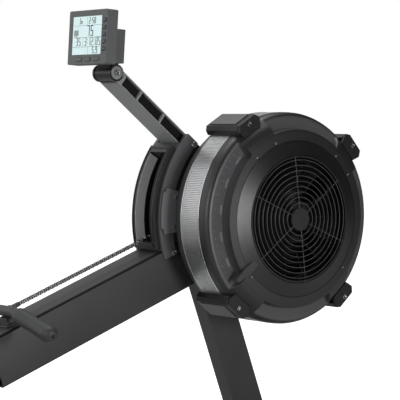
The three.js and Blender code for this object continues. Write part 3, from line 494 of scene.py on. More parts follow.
# drum front: pockets sunk between four blocks, and a rounded rim
drum = {
    "floorX": 0.213, "startX": 0.1803, "wall": 0.0022, "ramp": 0.9,
    "pockets": ((132, 220, 0.221), (52.4, 108.6, 0.229), (-38, 30, 0.229), (-117, -60, 0.229)),
    "blockLine": ((0.2002, 0.2418), (0.222, 0.2386), (0.238, 0.2335), (0.248, 0.2275), (0.256, 0.2195),
                  (0.2625, 0.2125), (0.268, 0.2065), (0.271, 0.2), (0.272, 0.193)),
    "sunkLine": ((0.2002, 0.213), (0.256, 0.213), (0.261, 0.2123), (0.2655, 0.2097), (0.2692, 0.2055),
                 (0.2715, 0.1995), (0.272, 0.193)),
}


def lineAt(line, radius):
    for (r0, x0), (r1, x1) in zip(line, line[1:]):
        if radius <= r1:
            return x0 + (x1 - x0) * (radius - r0) / (r1 - r0)
    return line[-1][1]


def smoothStep(share):
    share = min(max(share, 0), 1)
    return share * share * (3 - 2 * share)


# how far an angle is inside a pocket, from 0 to 1, and that pocket's inner radius
def pocketAt(degrees):
    for low, high, radius in drum["pockets"]:
        middle = (low + high) / 2
        off = abs((degrees - middle + 180) % 360 - 180)
        inside = smoothStep(((high - low) / 2 - off) / drum["ramp"] + 0.5)
        if inside > 0:
            return inside, radius
    return 0, 0.229


def makeDrumFront():
    ends = [end for low, high, _ in drum["pockets"] for end in (low, high)]
    angles = set(range(360))
    for end in ends:
        angles.update(round(end + 0.15 * i, 3) % 360 for i in range(-4, 5))
    angles = sorted(angles)
    radii = [0.2002, 0.203, 0.207, 0.212, 0.217, 0.2197, 0.2208, 0.2216, 0.2225, 0.225, 0.2277, 0.2288,
             0.2296, 0.2305, 0.234, 0.238, 0.243, 0.248, 0.252, 0.256, 0.259, 0.2615, 0.264, 0.266,
             0.268, 0.2695, 0.2708, 0.2716, 0.272]
    points = []
    sunk = []
    for degrees in angles:
        inside, pocketRadius = pocketAt(degrees)
        column = [(drum["floorX"], 0.151, 0), (drum["floorX"], 0.2, 0)]
        for radius in radii:
            share = inside * smoothStep((radius - pocketRadius) / 0.0012 + 0.5)
            block = lineAt(drum["blockLine"], radius)
            column.append((block + (lineAt(drum["sunkLine"], radius) - block) * share, radius, share))
        column += [(0.187, 0.272, 0), (drum["startX"], 0.272, 0)]
        for x, radius, share in column:
            points.append(drumPoint(x, radius, degrees))
            sunk.append(share if radius < 0.2605 else share * smoothStep((0.264 - radius) / 0.0035))
    count = len(radii) + 4
    faces = []
    for i in range(len(angles)):
        j = (i + 1) % len(angles)
        for k in range(count - 1):
            a, b = i * count + k, j * count + k
            faces.append((a, b, b + 1, a + 1))
    mesh = bpy.data.meshes.new("drumFront")
    mesh.from_pydata([tuple(p) for p in points], [], faces)
    marks = mesh.attributes.new("sunk", "FLOAT", "POINT")
    marks.data.foreach_set("value", sunk)
    if mesh.polygons[0].normal.x < 0:
        mesh.flip_normals()
    shell = linkMesh("drumFront", mesh, None)
    wall = shell.modifiers.new("wall", "SOLIDIFY")
    wall.thickness = drum["wall"]
    wall.offset = -1
    piece = baked(shell, "drumFront", coverAbs)
    smoothByAngle(piece.data, 38)
    place(piece, "frame", "black_plastic", "drum_front_shell", "front_cover")


makeDrumFront()

# damper ring: a turning cone, its lever and the pointer at the lever's tip
damper = {"leverAngle": 216.3, "inner": 0.163, "outer": 0.1996, "face": 0.2534, "edge": 0.2418,
          "back": 0.236}


def makeDamper():
    inner, outer = damper["inner"], damper["outer"]
    outline = [(damper["back"], inner), (damper["back"], outer), (damper["edge"] - 0.0008, outer),
               (damper["edge"], outer - 0.0008), (damper["face"] - 0.0004, inner + 0.0012),
               (damper["face"], inner + 0.0003), (damper["face"] - 0.0006, inner)]
    points, faces = turned(outline, 144)
    ring = linkMesh("damperRing", meshOf(points, faces, 24), darkAbs)
    lever = bmesh.new()
    outlineTop = [(0.168, -0.008), (0.2, -0.0112), (0.2255, -0.009), (0.247, -0.0052), (0.2505, -0.003),
                  (0.2505, 0.003), (0.247, 0.0052), (0.2255, 0.009), (0.2, 0.0112), (0.168, 0.008)]
    for x in (damper["edge"] - 0.001, damper["edge"] + 0.0075):
        for radius, side in outlineTop:
            lever.verts.new((x, radius, side))
    count = len(outlineTop)
    lever.verts.ensure_lookup_table()
    lever.faces.new([lever.verts[i] for i in range(count)])
    lever.faces.new([lever.verts[count + i] for i in range(count)])
    for i in range(count):
        j = (i + 1) % count
        lever.faces.new([lever.verts[k] for k in (i, j, count + j, count + i)])
    bmesh.ops.create_cube(lever, size=1, matrix=Matrix.Translation((0.2295, 0.243, 0))
                          @ Matrix.Diagonal((0.026, 0.01, 0.0065, 1)))
    turn = aboutAxis(damper["leverAngle"])
    bmesh.ops.transform(lever, matrix=turn, verts=lever.verts)
    bmesh.ops.recalc_face_normals(lever, faces=lever.faces)
    mesh = bpy.data.meshes.new("lever")
    lever.to_mesh(mesh)
    lever.free()
    smoothByAngle(mesh, 32)
    place(ring, "damper", "dark_plastic", "damper_ring")
    place(bevelled(mesh, "damperLever", mouldedAbs, 0.0014), "damper", "dark_plastic")


makeDamper()
print("drum front and damper made")


# starts a Geometry Nodes tree with named number inputs
def startTree(name, inputs):
    tree = bpy.data.node_groups.new(name, "GeometryNodeTree")
    tree.interface.new_socket("Geometry", in_out="OUTPUT", socket_type="NodeSocketGeometry")
    for label, value in inputs.items():
        kind = "NodeSocketInt" if isinstance(value, int) else "NodeSocketFloat"
        tree.interface.new_socket(label, in_out="INPUT", socket_type=kind).default_value = value
    return tree, addNode(tree, "NodeGroupInput").outputs


# ends the tree, runs it with the given sizes and returns its plain mesh
def grow(tree, geometry, name, material, inputs, sharpAngle=35):
    real = addNode(tree, "GeometryNodeRealizeInstances", links={0: geometry}).outputs[0]
    painted = addNode(tree, "GeometryNodeSetMaterial", {"Material": material}, {"Geometry": real})
    addNode(tree, "NodeGroupOutput", links={0: painted.outputs[0]})
    holder = bpy.data.objects.new(name, bpy.data.meshes.new("holder"))
    scene.collection.objects.link(holder)
    nodes = holder.modifiers.new("nodes", "NODES")
    nodes.node_group = tree
    sockets = {s.name: s.identifier for s in tree.interface.items_tree if s.in_out == "INPUT"}
    for label, value in inputs.items():
        nodes[sockets[label]] = value
    piece = baked(holder, name, material)
    smoothByAngle(piece.data, sharpAngle)
    return piece


def maths(tree, operation, first, second):
    made = addNode(tree, "ShaderNodeMath", operation=operation)
    for socket, value in ((made.inputs[0], first), (made.inputs[1], second)):
        if isinstance(value, (int, float)):
            socket.default_value = value
        else:
            tree.links.new(value, socket)
    return made.outputs[0]


def toVector(tree, x, y, z):
    made = addNode(tree, "ShaderNodeCombineXYZ")
    for socket, value in zip(made.inputs, (x, y, z)):
        if isinstance(value, (int, float)):
            socket.default_value = value
        else:
            tree.links.new(value, socket)
    return made.outputs[0]


# perforated band: rows of square holes in a 1.6 mm sheet, rolled round the drum.
# The real holes are finer; a pitch of 4.6 mm is as fine as a whole band can carry in geometry.
band = {"radius": 0.272, "start": 0.1095, "width": 0.068, "sheet": 0.0016, "around": 372, "across": 15,
        "hole": 0.62, "seam": -129}  # the seam lies under the lower rear clamp


def makeBand():
    sizes = {"Radius": band["radius"], "Start": band["start"], "Width": band["width"],
             "Sheet": band["sheet"], "Around": band["around"], "Across": band["across"],
             "Hole": band["hole"]}
    tree, given = startTree("perforatedBand", sizes)
    grid = addNode(tree, "GeometryNodeMeshGrid", {"Size X": 1.0}, {
        "Size Y": given["Width"],
        "Vertices X": maths(tree, "ADD", given["Around"], 1),
        "Vertices Y": maths(tree, "ADD", given["Across"], 1),
    })
    inset = addNode(tree, "GeometryNodeExtrudeMesh", {"Offset Scale": 0.0, "Individual": True},
                    {"Mesh": grid.outputs[0]})
    shrunk = addNode(tree, "GeometryNodeScaleElements", links={
        "Geometry": inset.outputs[0], "Selection": inset.outputs["Top"], "Scale": given["Hole"]})
    holed = addNode(tree, "GeometryNodeDeleteGeometry", domain="FACE",
                    links={"Geometry": shrunk.outputs[0], "Selection": inset.outputs["Top"]})
    thick = addNode(tree, "GeometryNodeExtrudeMesh", {"Individual": False},
                    {"Mesh": holed.outputs[0], "Offset Scale": given["Sheet"]})
    under = addNode(tree, "GeometryNodeFlipFaces", links={"Mesh": holed.outputs[0]})
    whole = addNode(tree, "GeometryNodeJoinGeometry")
    tree.links.new(under.outputs[0], whole.inputs[0])
    tree.links.new(thick.outputs[0], whole.inputs[0])
    flat = addNode(tree, "ShaderNodeSeparateXYZ",
                   links={0: addNode(tree, "GeometryNodeInputPosition").outputs[0]}).outputs
    turn = maths(tree, "MULTIPLY", flat["X"], 2 * math.pi)
    angle = maths(tree, "ADD", turn, math.radians(band["seam"] + 180))
    radius = maths(tree, "ADD", maths(tree, "SUBTRACT", given["Radius"], given["Sheet"]), flat["Z"])
    middle = maths(tree, "ADD", given["Start"], maths(tree, "DIVIDE", given["Width"], 2))
    x = maths(tree, "ADD", flat["Y"], middle)
    y = maths(tree, "ADD", maths(tree, "MULTIPLY", maths(tree, "COSINE", angle, 0), radius), axisY)
    z = maths(tree, "ADD", maths(tree, "MULTIPLY", maths(tree, "SINE", angle, 0), radius), axisZ)
    rolled = addNode(tree, "GeometryNodeSetPosition",
                     links={"Geometry": whole.outputs[0], "Position": toVector(tree, x, y, z)})
    closed = addNode(tree, "GeometryNodeMergeByDistance", {"Distance": 0.00005},
                     {"Geometry": rolled.outputs[0]})
    piece = grow(tree, closed.outputs[0], "perforatedBand", bandSteel, sizes, 30)
    shape = bmesh.new()
    shape.from_mesh(piece.data)
    bmesh.ops.recalc_face_normals(shape, faces=shape.faces)
    shape.to_mesh(piece.data)
    shape.free()
    place(piece, "frame", "perforated_steel", "perforated_band")
    for name, start, end in (("bandEdgeRear", 0.107, 0.1096), ("bandEdgeFront", 0.1774, 0.18)):
        rim = band["radius"]
        outline = [(start, rim - 0.002), (start, rim - 0.0004), (start + 0.0006, rim + 0.0004),
                   (end - 0.0006, rim + 0.0004), (end, rim - 0.0004), (end, rim - 0.002)]
        points, faces = turned(outline, 144)
        place(linkMesh(name, meshOf(points, faces, 50), polishedSteel), "frame", "perforated_steel")


makeBand()
print("band made")

# intake grille: conical louvre rings with a wire bead on each, radial wires and a hub cap
grille = {"rings": 9, "firstRadius": 0.0415, "pitch": 0.0136, "bladeDepth": 0.0135, "bladeFlare": 0.0058,
          "bladeWall": 0.0011, "face": 0.2522, "wire": 0.0006, "wires": 6, "wireTurn": 6.5,
          "tubeRadius": 0.162, "capRadius": 0.0294, "capFace": 0.2556}


# circles of growing radius about the drum's axis, each drawn out by a small outline of (radius, x) points
def growRings(name, outline, material, first, pitch, count, x):
    sizes = {"Rings": count, "First": first, "Pitch": pitch, "Face": x}
    tree, given = startTree(name, sizes)
    line = addNode(tree, "GeometryNodeMeshLine", {"Offset": (0, 0, 0)}, {"Count": given["Rings"]})
    circle = addNode(tree, "GeometryNodeCurvePrimitiveCircle", {"Resolution": 96, "Radius": 1.0})
    index = addNode(tree, "GeometryNodeInputIndex").outputs[0]
    radius = maths(tree, "ADD", maths(tree, "MULTIPLY", index, given["Pitch"]), given["First"])
    rings = addNode(tree, "GeometryNodeInstanceOnPoints", links={
        "Points": line.outputs[0], "Instance": circle.outputs[0],
        "Scale": toVector(tree, radius, radius, 1)})
    real = addNode(tree, "GeometryNodeRealizeInstances", links={0: rings.outputs[0]})
    section = addNode(tree, "GeometryNodeObjectInfo", {"Object": outlineCurve(name + "Section", outline)})
    tubes = addNode(tree, "GeometryNodeCurveToMesh",
                    links={"Curve": real.outputs[0], "Profile Curve": section.outputs["Geometry"]})
    placed = addNode(tree, "GeometryNodeTransform", {"Rotation": (0, math.pi / 2, 0)},
                     {"Geometry": tubes.outputs[0],
                      "Translation": toVector(tree, given["Face"], axisY, axisZ)})
    piece = grow(tree, placed.outputs[0], name, material, sizes, 40)
    turnOutwards(piece.data)
    bpy.data.objects.remove(bpy.data.objects[name + "Section"])
    return piece


def turnOutwards(mesh):
    shape = bmesh.new()
    shape.from_mesh(mesh)
    bmesh.ops.remove_doubles(shape, verts=shape.verts, dist=1e-6)
    bmesh.ops.recalc_face_normals(shape, faces=shape.faces)
    shape.to_mesh(mesh)
    shape.free()


def outlineCurve(name, outline):
    curve = bpy.data.curves.new(name, "CURVE")
    curve.dimensions = "3D"
    spline = curve.splines.new("POLY")
    spline.points.add(len(outline) - 1)
    for point, (a, b) in zip(spline.points, outline):
        point.co = (a, b, 0, 1)
    spline.use_cyclic_u = True
    made = bpy.data.objects.new(name, curve)
    scene.collection.objects.link(made)
    return made


def makeGrille():
    depth, flare, wall = grille["bladeDepth"], grille["bladeFlare"], grille["bladeWall"]
    blade = [(0, 0), (wall, 0), (flare + wall, depth), (flare, depth)]
    rings = growRings("grilleBlades", blade, darkAbs, grille["firstRadius"], grille["pitch"],
                      grille["rings"], grille["face"])
    wire = [(grille["wire"] * math.cos(math.radians(a)), grille["wire"] * math.sin(math.radians(a)))
            for a in range(0, 360, 60)]
    beads = growRings("grilleBeads", wire, greyAbs, grille["firstRadius"] + wall / 2, grille["pitch"],
                      grille["rings"], grille["face"] + 0.0005)
    place(rings, "frame", "dark_plastic", "intake_grille")
    place(beads, "frame", "dark_plastic")
    sizes = {"Wires": grille["wires"], "Turn": math.radians(grille["wireTurn"]),
             "Thickness": grille["wire"], "Length": grille["tubeRadius"] - grille["capRadius"]}
    tree, given = startTree("grilleWires", sizes)
    wires = addNode(tree, "GeometryNodeMeshLine", {"Offset": (0, 0, 0)}, {"Count": given["Wires"]})
    rod = addNode(tree, "GeometryNodeMeshCylinder", {"Vertices": 8},
                  {"Radius": given["Thickness"], "Depth": given["Length"]})
    middle = (grille["tubeRadius"] + grille["capRadius"]) / 2
    outwards = addNode(tree, "GeometryNodeTransform", {"Translation": (0, 0, middle)},
                       {"Geometry": rod.outputs[0]})
    index = addNode(tree, "GeometryNodeInputIndex").outputs[0]
    angle = maths(tree, "ADD", maths(tree, "MULTIPLY", index, 2 * math.pi / grille["wires"]), given["Turn"])
    turns = addNode(tree, "GeometryNodeInstanceOnPoints", links={
        "Points": wires.outputs[0], "Instance": outwards.outputs[0],
        "Rotation": toVector(tree, angle, 0, 0)})
    front = (grille["face"] + 0.0018, axisY, axisZ)
    placed = addNode(tree, "GeometryNodeTransform", {"Translation": front}, {"Geometry": turns.outputs[0]})
    place(grow(tree, placed.outputs[0], "grilleWires", greyAbs, sizes), "frame", "dark_plastic")
    inner, outer = 0.157, grille["tubeRadius"]
    tube = [(0.2133, inner), (0.2133, outer), (0.2528, outer), (0.2534, outer - 0.0006),
            (0.2534, inner + 0.0006), (0.2528, inner)]
    points, faces = turned(tube, 144)
    place(linkMesh("grilleTube", meshOf(points, faces, 40), darkAbs), "frame", "dark_plastic")
    radius, face = grille["capRadius"], grille["capFace"]
    cap = [(0.238, 0), (0.238, radius - 0.002), (0.24, radius), (face - 0.0012, radius),
           (face, radius - 0.0014), (face, 0)]
    points, faces = turned(cap, 64, False)
    place(linkMesh("hubCap", meshOf(points, faces, 30), coverAbs), "frame", "dark_plastic")


makeGrille()
print("grille made")

# roller chain: half-inch pitch, from the guide roller to the handle's eye
chain = {"start": -0.261, "end": -0.7081, "links": 35, "roller": 0.0042, "halfInner": 0.0024,
         "plate": 0.0011, "plateHeight": 0.0098}


# one link pair along +X: two inner plates, two outer plates, and a roller and a pin at each joint
def makeLinkPair(pitch):
    shape = bmesh.new()
    plates = ((0, chain["halfInner"], 1), (1, chain["halfInner"] + chain["plate"], 0.92))
    for step, inside, height in plates:
        for side in (-1, 1):
            outline = plateOutline(pitch, chain["plateHeight"] * height)
            rims = [[shape.verts.new((u + step * pitch, side * (inside + t), v)) for u, v in outline]
                    for t in (0, chain["plate"])]
            shape.faces.new(rims[0])
            shape.faces.new(rims[1])
            for i in range(len(outline)):
                j = (i + 1) % len(outline)
                shape.faces.new((rims[0][i], rims[0][j], rims[1][j], rims[1][i]))
    for along in (0, pitch):
        for radius, depth in ((chain["roller"], 2 * chain["halfInner"] - 0.0004), (0.0018, 0.0108)):
            turn = Matrix.Translation((along, 0, 0)) @ Matrix.Rotation(math.pi / 2, 4, "X")
            bmesh.ops.create_cone(shape, cap_ends=True, segments=10, radius1=radius, radius2=radius,
                                  depth=depth, matrix=turn)
    bmesh.ops.recalc_face_normals(shape, faces=shape.faces)
    mesh = bpy.data.meshes.new("linkPair")
    shape.to_mesh(mesh)
    shape.free()
    return linkMesh("linkPair", mesh, chainSteel)


# a waisted side plate of one pitch, as (along, up) points
def plateOutline(pitch, height):
    outline = []
    for centre, start in ((pitch, -70), (0, 110)):
        for i in range(5):
            angle = math.radians(start + 35 * i)
            outline.append((centre + height / 2 * math.cos(angle), height / 2 * math.sin(angle)))
        outline.append((pitch / 2, height * 0.36 * (1 if centre else -1)))
    return outline


def makeChain():
    length = chain["start"] - chain["end"]
    pitch = length / chain["links"]
    pair = makeLinkPair(pitch)
    sizes = {"Pairs": (chain["links"] + 1) // 2, "Spacing": 2 * pitch}
    tree, given = startTree("rollerChain", sizes)
    line = addNode(tree, "GeometryNodeMeshLine", links={
        "Count": given["Pairs"], "Offset": toVector(tree, given["Spacing"], 0, 0)})
    model = addNode(tree, "GeometryNodeObjectInfo", {"Object": pair})
    links = addNode(tree, "GeometryNodeInstanceOnPoints",
                    links={"Points": line.outputs[0], "Instance": model.outputs["Geometry"]})
    start = beamPoint(0, chain["start"], chainAxisV)
    turn = Matrix.Rotation(beamSlope, 4, "X") @ Matrix.Rotation(-math.pi / 2, 4, "Z")
    sloped = addNode(tree, "GeometryNodeTransform",
                     {"Translation": start, "Rotation": turn.to_euler()}, {"Geometry": links.outputs[0]})
    piece = grow(tree, sloped.outputs[0], "pullChain", chainSteel, sizes, 30)
    bpy.data.objects.remove(pair)
    end = beamPoint(0, chain["end"], chainAxisV)
    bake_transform(piece, "chain", "handle", start=tuple(start), end=tuple(end))
    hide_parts("pull_chain")


makeChain()
print("chain made")

# handle grips: foam sleeves with a waist, a flat under edge and a domed end
grip = {"bend": 0.035, "start": 0.062, "end": 0.222, "sweep": math.radians(3), "droop": math.radians(12),
        "bore": 0.0134, "handleU": -0.7484}


def gripDirection(side):
    return Vector((side, -math.tan(grip["sweep"]), -math.tan(grip["droop"])))


def gripPoint(side, x):
    local = Vector((side * grip["bend"], grip["handleU"], chainAxisV))
    turnBack = Matrix.Rotation(-beamSlope, 3, "X")
    local += turnBack @ gripDirection(side) * (x - grip["bend"])
    return beamPoint(local.x, local.y, local.z)


def makeGrip(side, name, node):
    start, end = gripPoint(side, grip["start"]), gripPoint(side, grip["end"])
    along = (end - start).normalized()
    length = (end - start).length
    across = along.cross(Vector((0, 0, 1))).normalized()
    up = across.cross(along).normalized()
    outer = [(0, grip["bore"]), (0, 0.0176), (0.0015, 0.0192), (0.006, 0.0202)]
    for i in range(1, 12):
        share = i / 12
        outer.append((0.006 + share * (length - 0.022), 0.0202 - 0.0012 * math.sin(math.pi * share) ** 2))
    for i in range(7):
        angle = math.radians(90 * i / 6)
        outer.append((length - 0.016 + 0.0155 * math.sin(angle), 0.0046 + 0.0156 * math.cos(angle)))
    outer += [(length - 0.0012, 0.0042), (length - 0.0042, 0.0038), (length - 0.0042, 0)]
    points, faces = [], []
    segments = 48
    for i in range(segments):
        angle = 2 * math.pi * i / segments
        flat = 1 - 0.05 * max(0, -math.sin(angle)) ** 6
        for s, radius in outer:
            spread = across * math.cos(angle) + up * math.sin(angle) * flat
            points.append(start + along * s + spread * radius)
    count = len(outer)
    for i in range(segments):
        j = (i + 1) % segments
        for k in range(count - 1):
            faces.append((i * count + k, j * count + k, j * count + k + 1, i * count + k + 1))
    piece = linkMesh(name, meshOf(points, faces, 40), gripFoam)
    place(piece, "handle", "rubber", node)


makeGrip(-1, "gripLeft", "handle_grip_left")
makeGrip(1, "gripRight", "handle_grip_right")
print("grips made")

# clamps over the rim: a bridge with a stepped top, and a lug with its bolt at the front
clamp = {"angles": {"upper_rear": 120.5, "upper_front": 41, "lower_front": -49, "lower_rear": -129}}


def makeClamps():
    for where, degrees in clamp["angles"].items():
        name = "rimClamp" + "".join(word.title() for word in where.split("_"))
        piece = refined(f"rim_clamp_{where}", name, darkAbs, 0.0022, 3)
        place(piece, "frame", "dark_plastic", f"rim_clamp_{where}")
        # a thin raised plate with a rounded edge sits on the bridge's outer face; its lighter grey is
        # painted light, standing in for the light on the clamp's top
        shape = bmesh.new()
        middle = Vector((0.1495, 0.2945, 0))
        bmesh.ops.create_cube(shape, size=1, matrix=Matrix.Translation(middle)
                              @ Matrix.Diagonal((0.1, 0.0036, 0.05, 1)))
        turn = aboutAxis(degrees)
        bmesh.ops.transform(shape, matrix=turn, verts=shape.verts)
        mesh = bpy.data.meshes.new("pad")
        shape.to_mesh(mesh)
        shape.free()
        place(bevelled(mesh, name + "Pad", greyAbs, 0.0014), "frame", "dark_plastic")


makeClamps()
print("clamps made")

# socket bolts: one head, set on each point with its own direction and size
bolt = {"headHeight": 0.55, "socketDepth": 0.42, "socketRadius": 0.5, "sides": 24}


# a unit cap screw along +Z: knurl-free head with a bevel and a hexagonal socket
def makeBoltHead():
    shape = bmesh.new()
    height = bolt["headHeight"]
    socket = bolt["socketRadius"]
    rings = [(0, 1), (height - 0.12, 1), (height, 0.88), (height, socket + 0.06), (height - 0.06, socket),
             (height - bolt["socketDepth"], socket)]
    rows = []
    for z, radius in rings:
        row = []
        for i in range(bolt["sides"]):
            angle = 2 * math.pi * i / bolt["sides"]
            reach = radius
            if radius <= socket:
                reach *= math.cos(math.pi / 6) / math.cos((angle % (math.pi / 3)) - math.pi / 6)
            row.append(shape.verts.new((reach * math.cos(angle), reach * math.sin(angle), z)))
        rows.append(row)
    for low, high in zip(rows, rows[1:]):
        for i in range(bolt["sides"]):
            j = (i + 1) % bolt["sides"]
            shape.faces.new((low[i], low[j], high[j], high[i]))
    shape.faces.new(rows[-1])
    shape.faces.new(list(reversed(rows[0])))
    bmesh.ops.recalc_face_normals(shape, faces=shape.faces)
    mesh = bpy.data.meshes.new("boltHead")
    shape.to_mesh(mesh)
    shape.free()
    return linkMesh("boltHead", mesh, blackSteel)


# places is a list of (point, direction, head radius)
def makeBolts(name, body, slotName, material, places):
    head = makeBoltHead()
    mesh = bpy.data.meshes.new(name + "Points")
    mesh.from_pydata([tuple(p) for p, _, _ in places], [], [])
    mesh.attributes.new("turn", "FLOAT_VECTOR", "POINT")
    mesh.attributes.new("size", "FLOAT", "POINT")
    for i, (_, direction, radius) in enumerate(places):
        mesh.attributes["turn"].data[i].vector = Vector(direction).to_track_quat("Z", "Y").to_euler()
        mesh.attributes["size"].data[i].value = radius
    points = linkMesh(name + "Points", mesh, None)
    tree, given = startTree(name, {"Scale": 1.0})
    base = addNode(tree, "GeometryNodeObjectInfo", {"Object": points})
    model = addNode(tree, "GeometryNodeObjectInfo", {"Object": head})
    turn = addNode(tree, "GeometryNodeInputNamedAttribute", {"Name": "turn"}, data_type="FLOAT_VECTOR")
    size = addNode(tree, "GeometryNodeInputNamedAttribute", {"Name": "size"}, data_type="FLOAT")
    spots = addNode(tree, "GeometryNodeMeshToPoints", links={"Mesh": base.outputs["Geometry"]})
    heads = addNode(tree, "GeometryNodeInstanceOnPoints", links={
        "Points": spots.outputs[0], "Instance": model.outputs["Geometry"], "Rotation": turn.outputs[0],
        "Scale": maths(tree, "MULTIPLY", size.outputs[0], given["Scale"])})
    piece = grow(tree, heads.outputs[0], name, material, {"Scale": 1.0}, 28)
    bpy.data.objects.remove(points)
    bpy.data.objects.remove(head)
    return place(piece, body, slotName)


def makeAllBolts():
    plusX, minusX, down = (1, 0, 0), (-1, 0, 0), (0, 0, -1)
    darkBolts = []
    for degrees in clamp["angles"].values():
        darkBolts.append((drumPoint(0.2205, 0.281, degrees), plusX, 0.0062))
    for x, direction in ((0.0583, plusX), (-0.0583, minusX)):
        darkBolts.append((drumPoint(x, 0.2682, 198.0), direction, 0.0075))
    for x, direction in ((0.038, plusX), (-0.038, minusX)):
        for y in (0.115, 0.07):
            darkBolts.append((Vector((x, y, 0.272)), direction, 0.006))
    makeBolts("frameBolts", "frame", "steel", blackSteel, darkBolts)
    screws = [(drumPoint(0.2414, 0.2065, degrees), plusX, 0.0032)
              for degrees in (130.6, 222.6, 50, 111, 32, -40)]
    makeBolts("coverScrews", "frame", "steel", blackSteel, screws)
    armBolts = [(Vector((side * 0.0405, axisY - 0.418, axisZ + 0.369)), (side, 0, 0), 0.0065)
                for side in (-1, 1)]
    makeBolts("pivotBolts", "monitor", "steel", zincSteel, armBolts)
    seatBolts = [(Vector((side * 0.048, -0.6137 + y, 0.3342)), down, 0.005)
                 for side in (-1, 1) for y in (-0.06, 0.06)]
    makeBolts("seatBolts", "seat", "steel", zincSteel, seatBolts)


makeAllBolts()
print("bolts made")


# an arc-shaped plate about the drum's axis, from x0 to x1
def sectorPlate(x0, x1, inner, outer, start, end, steps=24):
    outline = [(x0, inner), (x0, outer), (x1, outer), (x1, inner)]
    points, faces = turned(outline, steps, True, (start, end))
    last = steps * 4
    faces += [(0, 1, 2, 3), (last + 3, last + 2, last + 1, last)]
    return points, faces


# a box from its two corners, moved by a matrix
def boxShape(low, high, matrix=Matrix()):
    points = [matrix @ Vector((x, y, z)) for x in (low[0], high[0]) for y in (low[1], high[1])
              for z in (low[2], high[2])]
    faces = [(0, 1, 3, 2), (4, 6, 7, 5), (0, 4, 5, 1), (2, 3, 7, 6), (0, 2, 6, 4), (1, 5, 7, 3)]
    return points, faces


# damper scale: raised blocks on the window's floor, with a number by each
scale = {"from": 138.5, "step": 8.5, "numbers": 10, "inner": 0.2262, "outer": 0.2325, "numberRadius": 0.2395,
         "numberHeight": 0.0072}


def makeScale():
    floor = drum["floorX"]
    blocks = []
    for i in range(0, scale["numbers"], 2):
        start = scale["from"] + i * scale["step"] - 3
        blocks.append(sectorPlate(floor - 0.0002, floor + 0.0004, scale["inner"], scale["outer"],
                                  start, start + 6, 8))
    place(linkMesh("scaleBlocks", meshOf(*joined(blocks)), printInk), "frame", "grey_plastic")
    numbers = []
    for i in range(scale["numbers"]):
        curve = bpy.data.curves.new("number", "FONT")
        curve.body = str(scale["numbers"] - i)
        curve.size = scale["numberHeight"]
        curve.align_x = "CENTER"
        curve.align_y = "CENTER"
        curve.extrude = 0.00012
        curve.resolution_u = 3
        holder = bpy.data.objects.new("number", curve)
        scene.collection.objects.link(holder)
        bpy.context.view_layer.update()
        mesh = bpy.data.meshes.new_from_object(holder.evaluated_get(bpy.context.evaluated_depsgraph_get()))
        bpy.data.objects.remove(holder)
        spot = drumPoint(floor + 0.0002, scale["numberRadius"], scale["from"] + i * scale["step"])
        upright = Matrix(((0, 0, 1), (1, 0, 0), (0, 1, 0))).to_4x4()
        matrix = Matrix.Translation(spot) @ upright
        numbers.append(([matrix @ v.co for v in mesh.vertices], [tuple(p.vertices) for p in mesh.polygons]))
    place(linkMesh("scaleNumbers", meshOf(*joined(numbers)), printInk), "frame", "grey_plastic")
    marks = []
    for i in range(2 * scale["numbers"] - 1):
        middle = scale["from"] + i * scale["step"] / 2
        width = 0.32 if i % 2 == 0 else 0.18
        marks.append(sectorPlate(floor - 0.0003, floor + 0.0002, 0.2462, 0.2505,
                                 middle - width, middle + width, 2))
    place(linkMesh("scaleMarks", meshOf(*joined(marks)), printInk), "frame", "grey_plastic")


makeScale()

# chain slot: a light liner on its far wall, a raised lip all round, and slanting ribs beside it
slot = {"half": 0.032, "top": 147, "bottom": 191, "face": 0.312, "lipHeight": 0.0016, "ribs": 64}

# light grey ABS of the slot's liner, with a soft cloudy variation
linerAbs = grainedMaterial("lightGreyLinerAbs", "b4b5b6", "d8d9da", 0.42, 0.003, 0.00008, {"IOR": 1.53})


